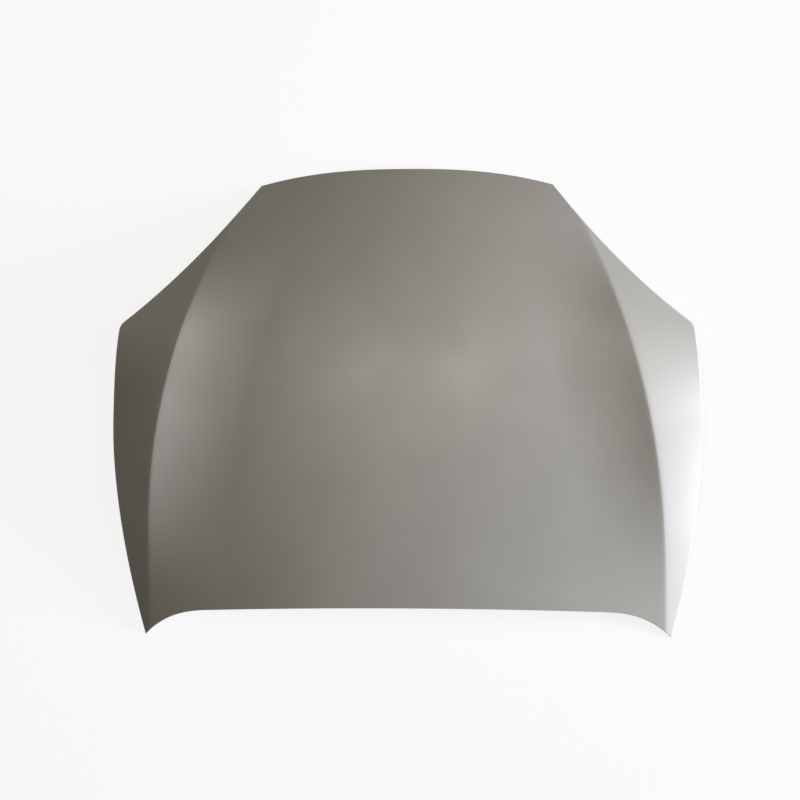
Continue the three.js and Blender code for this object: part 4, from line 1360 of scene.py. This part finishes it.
@dataclass
class Striker:
    """The bent wire that the latch catches, with its welds, and the two bolts beside it."""

    middle: Array
    plate_bottom: float
    wire_radius: float = 3.5
    loop_width: float = 28.0
    drop: float = 27.0
    bolt_spacing: float = 52.0
    bolt_gap: float = 0.3
    head_flats: float = 10.0
    head_height: float = 4.0
    shank_radius: float = 3.0
    shank_length: float = 13.3
    leg_steps: int = 8
    bend_steps: int = 48
    wire_sides: int = 28
    weld_steps: int = 5
    weld_reach: float = 2.2
    weld_drop: float = 2.4
    ripple: float = 0.06
    ripples: int = 9
    head_sides: int = 72
    washer_depth: float = 0.9
    head_dish: float = 0.5

    def wire_path(self) -> tuple[Array, Array]:
        """The wire's middle line and its direction: a leg, one cubic curve, and a leg.

        Returns:
            The points and the unit tangents, each N by 3.
        """
        half = self.loop_width / 2
        legs = self.drop - self.wire_radius - half
        pull = -legs - half * 4 / 3
        share = np.linspace(0, 1, self.bend_steps + 1)[:, None]
        corners = np.array([[-half, -legs], [-half, pull], [half, pull], [half, -legs]])
        weights = [(1 - share) ** 3, 3 * share * (1 - share) ** 2,
                   3 * share**2 * (1 - share), share**3]
        curve = sum(weight * corner for weight, corner in zip(weights, corners))
        leg = -legs * even(self.leg_steps)
        down = np.stack([np.full_like(leg, -half), leg], -1)
        up = np.stack([np.full_like(leg, half), leg[::-1]], -1)
        flat = np.concatenate([down, curve, up])
        path = np.stack([flat[:, 0], np.zeros(len(flat)), flat[:, 1]], -1)
        tangent = np.gradient(path, axis=0)
        return path, tangent / np.linalg.norm(tangent, axis=-1, keepdims=True)

    def wire(self) -> Array:
        """A circle carried along the wire's line, and drawn to a point at each end.

        Returns:
            The tube's grid.
        """
        path, tangent = self.wire_path()
        turns = np.linspace(0, 2 * np.pi, self.wire_sides, endpoint=False)[None, :, None]
        side = np.array([0.0, 1.0, 0.0])
        normal = np.cross(side, tangent)
        circle = np.cos(turns) * normal[:, None] + np.sin(turns) * side
        tube = path[:, None] + self.wire_radius * circle
        start, end = (np.broadcast_to(point, tube[:1].shape) for point in (path[0], path[-1]))
        return np.concatenate([start, tube, end])[:, ::-1]

    def weld(self, x: float) -> Array:
        """The fillet where a leg meets the plate: a quarter circle turned about the leg.

        Args:
            x: The leg's place across.

        Returns:
            The fillet's grid.
        """
        turns = np.linspace(0, 2 * np.pi, self.wire_sides, endpoint=False)
        bend = np.linspace(0, np.pi / 2, self.weld_steps + 1)
        ripple = 1 + self.ripple * np.sin(self.ripples * turns)
        radii = self.wire_radius + self.weld_reach * (1 - np.sin(bend))[:, None] * ripple
        drop = -self.weld_drop * (1 - np.cos(bend))[:, None] * ripple
        top = np.zeros((1, len(turns)))
        radii = np.concatenate([top, radii, top + self.wire_radius * 0.5])
        drop = np.concatenate([top, drop, drop[-1:]])
        return np.stack([x + radii * np.cos(turns), radii * np.sin(turns), drop], -1)[:, ::-1]

    def bolt(self, x: float) -> Array:
        """A hexagon head with a washer face and a chamfer, and its shank.

        The head's radius is the hexagon's, flats over 2 cos, or less where the chamfer cuts it.

        Args:
            x: The bolt's place across.

        Returns:
            The bolt's grid, from the middle of its head to the end of its shank.
        """
        turns = np.linspace(0, 2 * np.pi, self.head_sides, endpoint=False)
        wedge = np.mod(turns, np.pi / 3) - np.pi / 6
        hexagon = self.head_flats / 2 / np.cos(wedge)
        full = self.head_flats / np.sqrt(3)
        low, dish, rim = -self.head_height, self.head_dish, -self.washer_depth
        # Each row's greatest radius and its level: the dish in the top, the chamfer, the flats.
        limits = np.array([0, 3.6, 4.7, full * 0.93, full * 0.97, full, full])
        levels = np.array([low + dish, low + dish, low, low, low + 0.25, low + 0.6, rim])
        head = np.minimum(hexagon, limits[:, None])
        # The washer face with its small chamfer, then the shank.
        washer = np.array([full * 0.99, full, full, self.shank_radius, self.shank_radius, 0])
        washer_levels = np.array([rim, rim + 0.2, 0, 0, self.shank_length, self.shank_length])
        radii = np.concatenate([head, np.broadcast_to(washer[:, None], (6, len(turns)))])
        heights = np.broadcast_to(np.concatenate([levels, washer_levels])[:, None], radii.shape)
        return np.stack([x + radii * np.cos(turns), radii * np.sin(turns), heights], -1)

    def build(self) -> list[bpy.types.Object]:
        """Makes the loop and the bolts, and replaces their nodes.

        Returns:
            The three pieces.
        """
        origin = np.array([*self.middle, self.plate_bottom - self.bolt_gap])
        half = self.loop_width / 2
        loop = SheetMesh()
        loop.grid(self.wire() + origin, closed=True)
        loop.grid(self.weld(-half) + origin + [0, 0, self.bolt_gap], closed=True)
        loop.grid(self.weld(half) + origin + [0, 0, self.bolt_gap], closed=True)
        made = [settle(write_mesh("striker_wire", *loop.arrays()), Finishes.ZINC.value,
                       "zinc_plate", "striker_loop")]
        for side, sign in (("left", -1), ("right", 1)):
            bolt = SheetMesh()
            bolt.grid(self.bolt(sign * self.bolt_spacing / 2) + origin, closed=True)
            piece = write_mesh(f"striker_screw_{side}", *bolt.arrays(), smooth_angle=25.0)
            made.append(settle(piece, Finishes.ZINC.value, "zinc_plate", f"striker_bolt_{side}"))
        return made


@dataclass
class MasticDabs:
    """Dabs of mastic between the windows' rear lands and the skin."""

    panel: InnerPanel
    radius: float = 6.5
    thickness: float = 3.3
    gap: float = 0.5
    skin: float = 0.7
    sides: int = 32
    rings: int = 12
    bulge: float = 0.4
    wavers: tuple[float, float] = (0.05, 0.03)
    taper: float = 0.12

    def dab(self, cell: Cell, turn: float) -> Array:
        """A squat drop: radius by a power of sin, height by cos, with a wavering outline.

        Args:
            cell: The window's cell it lies by.
            turn: Where its wavers start, so that no two are alike.

        Returns:
            The drop's grid.
        """
        panel = self.panel
        to_pad = panel.rib_half_width + panel.rib_wall + panel.land_width / 2
        spot = cell.at(np.float64(0.5), np.float64(to_pad / cell.size()[1]))
        middle = panel.face.below(spot, self.skin + self.gap + self.thickness / 2)
        normal = panel.face.normal(spot)
        first = np.cross([0.0, 1.0, 0.0], normal)
        first /= np.linalg.norm(first)
        second = np.cross(normal, first)
        angles = np.linspace(0, 2 * np.pi, self.sides, endpoint=False)
        rise = np.linspace(0, np.pi, self.rings + 1)[:, None]
        wide, fine = self.wavers
        waver = 1 - wide * (1 + np.sin(2 * angles + turn)) \
            - fine * (1 + np.sin(5 * angles + 2 * turn))
        narrowing = 1 - self.taper * (1 - np.cos(rise)) / 2
        radii = self.radius * np.sin(rise) ** self.bulge * waver * narrowing
        heights = np.broadcast_to(-np.cos(rise) * self.thickness / 2, radii.shape)
        return middle + (radii * np.cos(angles))[..., None] * first \
            + (radii * np.sin(angles))[..., None] * second + heights[..., None] * normal

    def build(self) -> bpy.types.Object:
        """Makes all dabs as one piece and replaces their nodes.

        Returns:
            The dabs.
        """
        windows = [cell for cell in self.panel.cells if cell.kind is CellKind.WINDOW]
        sheet = SheetMesh()
        for cell in windows:
            sheet.grid(self.dab(cell, 1.7 * cell.column + 2.9 * cell.row), closed=True)
        nodes = [f"mastic_{cell.row + 1}_{cell.column + 1}" for cell in windows]
        piece = write_mesh("mastic_dabs", *sheet.arrays())
        return settle(piece, Finishes.MASTIC.value, "mastic", *nodes)


def dress_carried_nodes() -> None:
    """Gives each CAD node the finish of its slot, which those that stay keep."""
    finishes = {"frame_primer": Finishes.FRAME_PRIMER, "zinc_plate": Finishes.ZINC,
                "skin_primer": Finishes.SKIN_PRIMER, "mastic": Finishes.MASTIC}
    for part in frame["record"]["subparts"]:
        node = frame["nodes"][part["node"]]
        node.data.materials.clear()
        node.data.materials.append(finishes[part["material_slot"]].value.material())


@dataclass(frozen=True)
class Lamp:
    """A soft rectangular lamp that faces the middle of the floor and isn't seen itself."""

    name: str
    place: tuple[float, float, float]
    size: tuple[float, float]
    power: float
    colour: str

    def build(self) -> None:
        """Hangs the lamp."""
        data = bpy.data.lights.new(self.name, "AREA")
        data.shape = "RECTANGLE"
        data.size, data.size_y = self.size
        data.energy = self.power
        data.color = linear(self.colour)[:3]
        lamp = bpy.data.objects.new(self.name, data)
        lamp.location = self.place
        lamp.rotation_euler = Vector(self.place).to_track_quat("Z", "Y").to_euler()
        lamp.visible_camera = False
        bpy.context.scene.collection.objects.link(lamp)


@dataclass
class Studio:
    """The floor, the light and the camera."""

    aim: tuple[float, ...] = (-0.0125, 0.0055, 0.04)
    camera_distance: float = 10.0
    camera_lean: float = 6.0
    lens: float = 184.0
    sensor: float = 36.0
    ambient: float = 0.02
    floor_reach: float = 30.0
    floor_glow: float = 0.85
    lamps: tuple[Lamp, ...] = (
        # The key skims the panel from the right, so that each slope shows.
        Lamp("key", (14.0, -2.0, 1.8), (3.6, 2.2), 6450.0, "#e9f0ff"),
        # A softer one higher on the same side opens the shadows of the flutes.
        Lamp("side", (4.7, 1.9, 3.2), (1.5, 1.5), 118.0, "#fffcf6"),
        # The top one lays a wide soft sheen on the middle.
        Lamp("top", (-0.2, 0.46, 3.0), (1.2, 1.2), 31.0, "#fff6ea"),
    )

    def floor(self) -> None:
        """A wide pale floor that shows near white and keeps the shadow."""
        mesh = bpy.data.meshes.new("floor")
        reach = self.floor_reach
        mesh.from_pydata([(-reach, -reach, 0), (reach, -reach, 0), (reach, reach, 0),
                          (-reach, reach, 0)], [], [(0, 1, 2, 3)])
        piece = bpy.data.objects.new("floor", mesh)
        bpy.context.scene.collection.objects.link(piece)
        made = bpy.data.materials.new("pale_floor")
        made.use_nodes = True
        tree = made.node_tree
        tree.nodes.clear()
        path = add_node(tree, "ShaderNodeLightPath")
        seen = add_node(tree, "ShaderNodeMath", {0: path.outputs["Is Camera Ray"],
                                                 1: path.outputs["Is Glossy Ray"]},
                        operation="MAXIMUM")
        shown = add_node(tree, "ShaderNodeMath", {0: seen.outputs[0],
                                                  1: path.outputs["Is Transmission Ray"]},
                         operation="MAXIMUM")
        share = add_node(tree, "ShaderNodeMath", {0: shown.outputs[0]}, {1: self.floor_glow},
                         operation="MULTIPLY")
        matt = add_node(tree, "ShaderNodeBsdfDiffuse", values={"Color": linear("#f2f2f2")})
        glow = add_node(tree, "ShaderNodeEmission",
                        values={"Color": (1, 1, 1, 1), "Strength": 1.0})
        both = add_node(tree, "ShaderNodeMixShader", {0: share.outputs[0], 1: matt.outputs[0],
                                                      2: glow.outputs[0]})
        add_node(tree, "ShaderNodeOutputMaterial", {"Surface": both.outputs[0]})
        mesh.materials.append(made)

    def world(self) -> None:
        """An even dim surround that the camera sees as white."""
        made = bpy.data.worlds.new("studio")
        bpy.context.scene.world = made
        made.use_nodes = True
        tree = made.node_tree
        tree.nodes.clear()
        path = add_node(tree, "ShaderNodeLightPath")
        soft = add_node(tree, "ShaderNodeBackground",
                        values={"Color": (1, 0.99, 0.97, 1), "Strength": self.ambient})
        white = add_node(tree, "ShaderNodeBackground",
                         values={"Color": (1, 1, 1, 1), "Strength": 1.0})
        both = add_node(tree, "ShaderNodeMixShader", {0: path.outputs["Is Camera Ray"],
                                                      1: soft.outputs[0], 2: white.outputs[0]})
        add_node(tree, "ShaderNodeOutputWorld", {"Surface": both.outputs[0]})

    def camera(self) -> None:
        """The camera, far above and a little to the right, the nose at the picture's top."""
        data = bpy.data.cameras.new("camera")
        data.lens = self.lens
        data.sensor_width = self.sensor
        camera = bpy.data.objects.new("camera", data)
        lean = np.radians(self.camera_lean)
        away = Vector((np.sin(lean), 0.0, np.cos(lean)))
        camera.location = Vector(self.aim) + away * self.camera_distance
        camera.rotation_euler = (0.0, lean, 0.0)
        bpy.context.scene.collection.objects.link(camera)
        bpy.context.scene.camera = camera

    def build(self) -> None:
        """Sets the whole studio up."""
        bpy.context.scene.view_settings.view_transform = "Standard"
        self.camera()
        self.floor()
        self.world()
        for lamp in self.lamps:
            lamp.build()


def main() -> None:
    """Builds the bonnet and the studio in order and reports each piece."""
    logging.basicConfig(level=logging.INFO, format="%(message)s")
    face = Face()
    dress_carried_nodes()
    Studio().build()
    OuterPanel(face).build()
    panel = InnerPanel(face)
    panel.build()
    HemSealer(face).build()
    plate_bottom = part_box("striker_plate")[0].z / MM - ROW_SHIFT[2]
    Striker(panel.latch_middle(), plate_bottom).build()
    MasticDabs(panel).build()


if __name__ == "__main__":
    main()
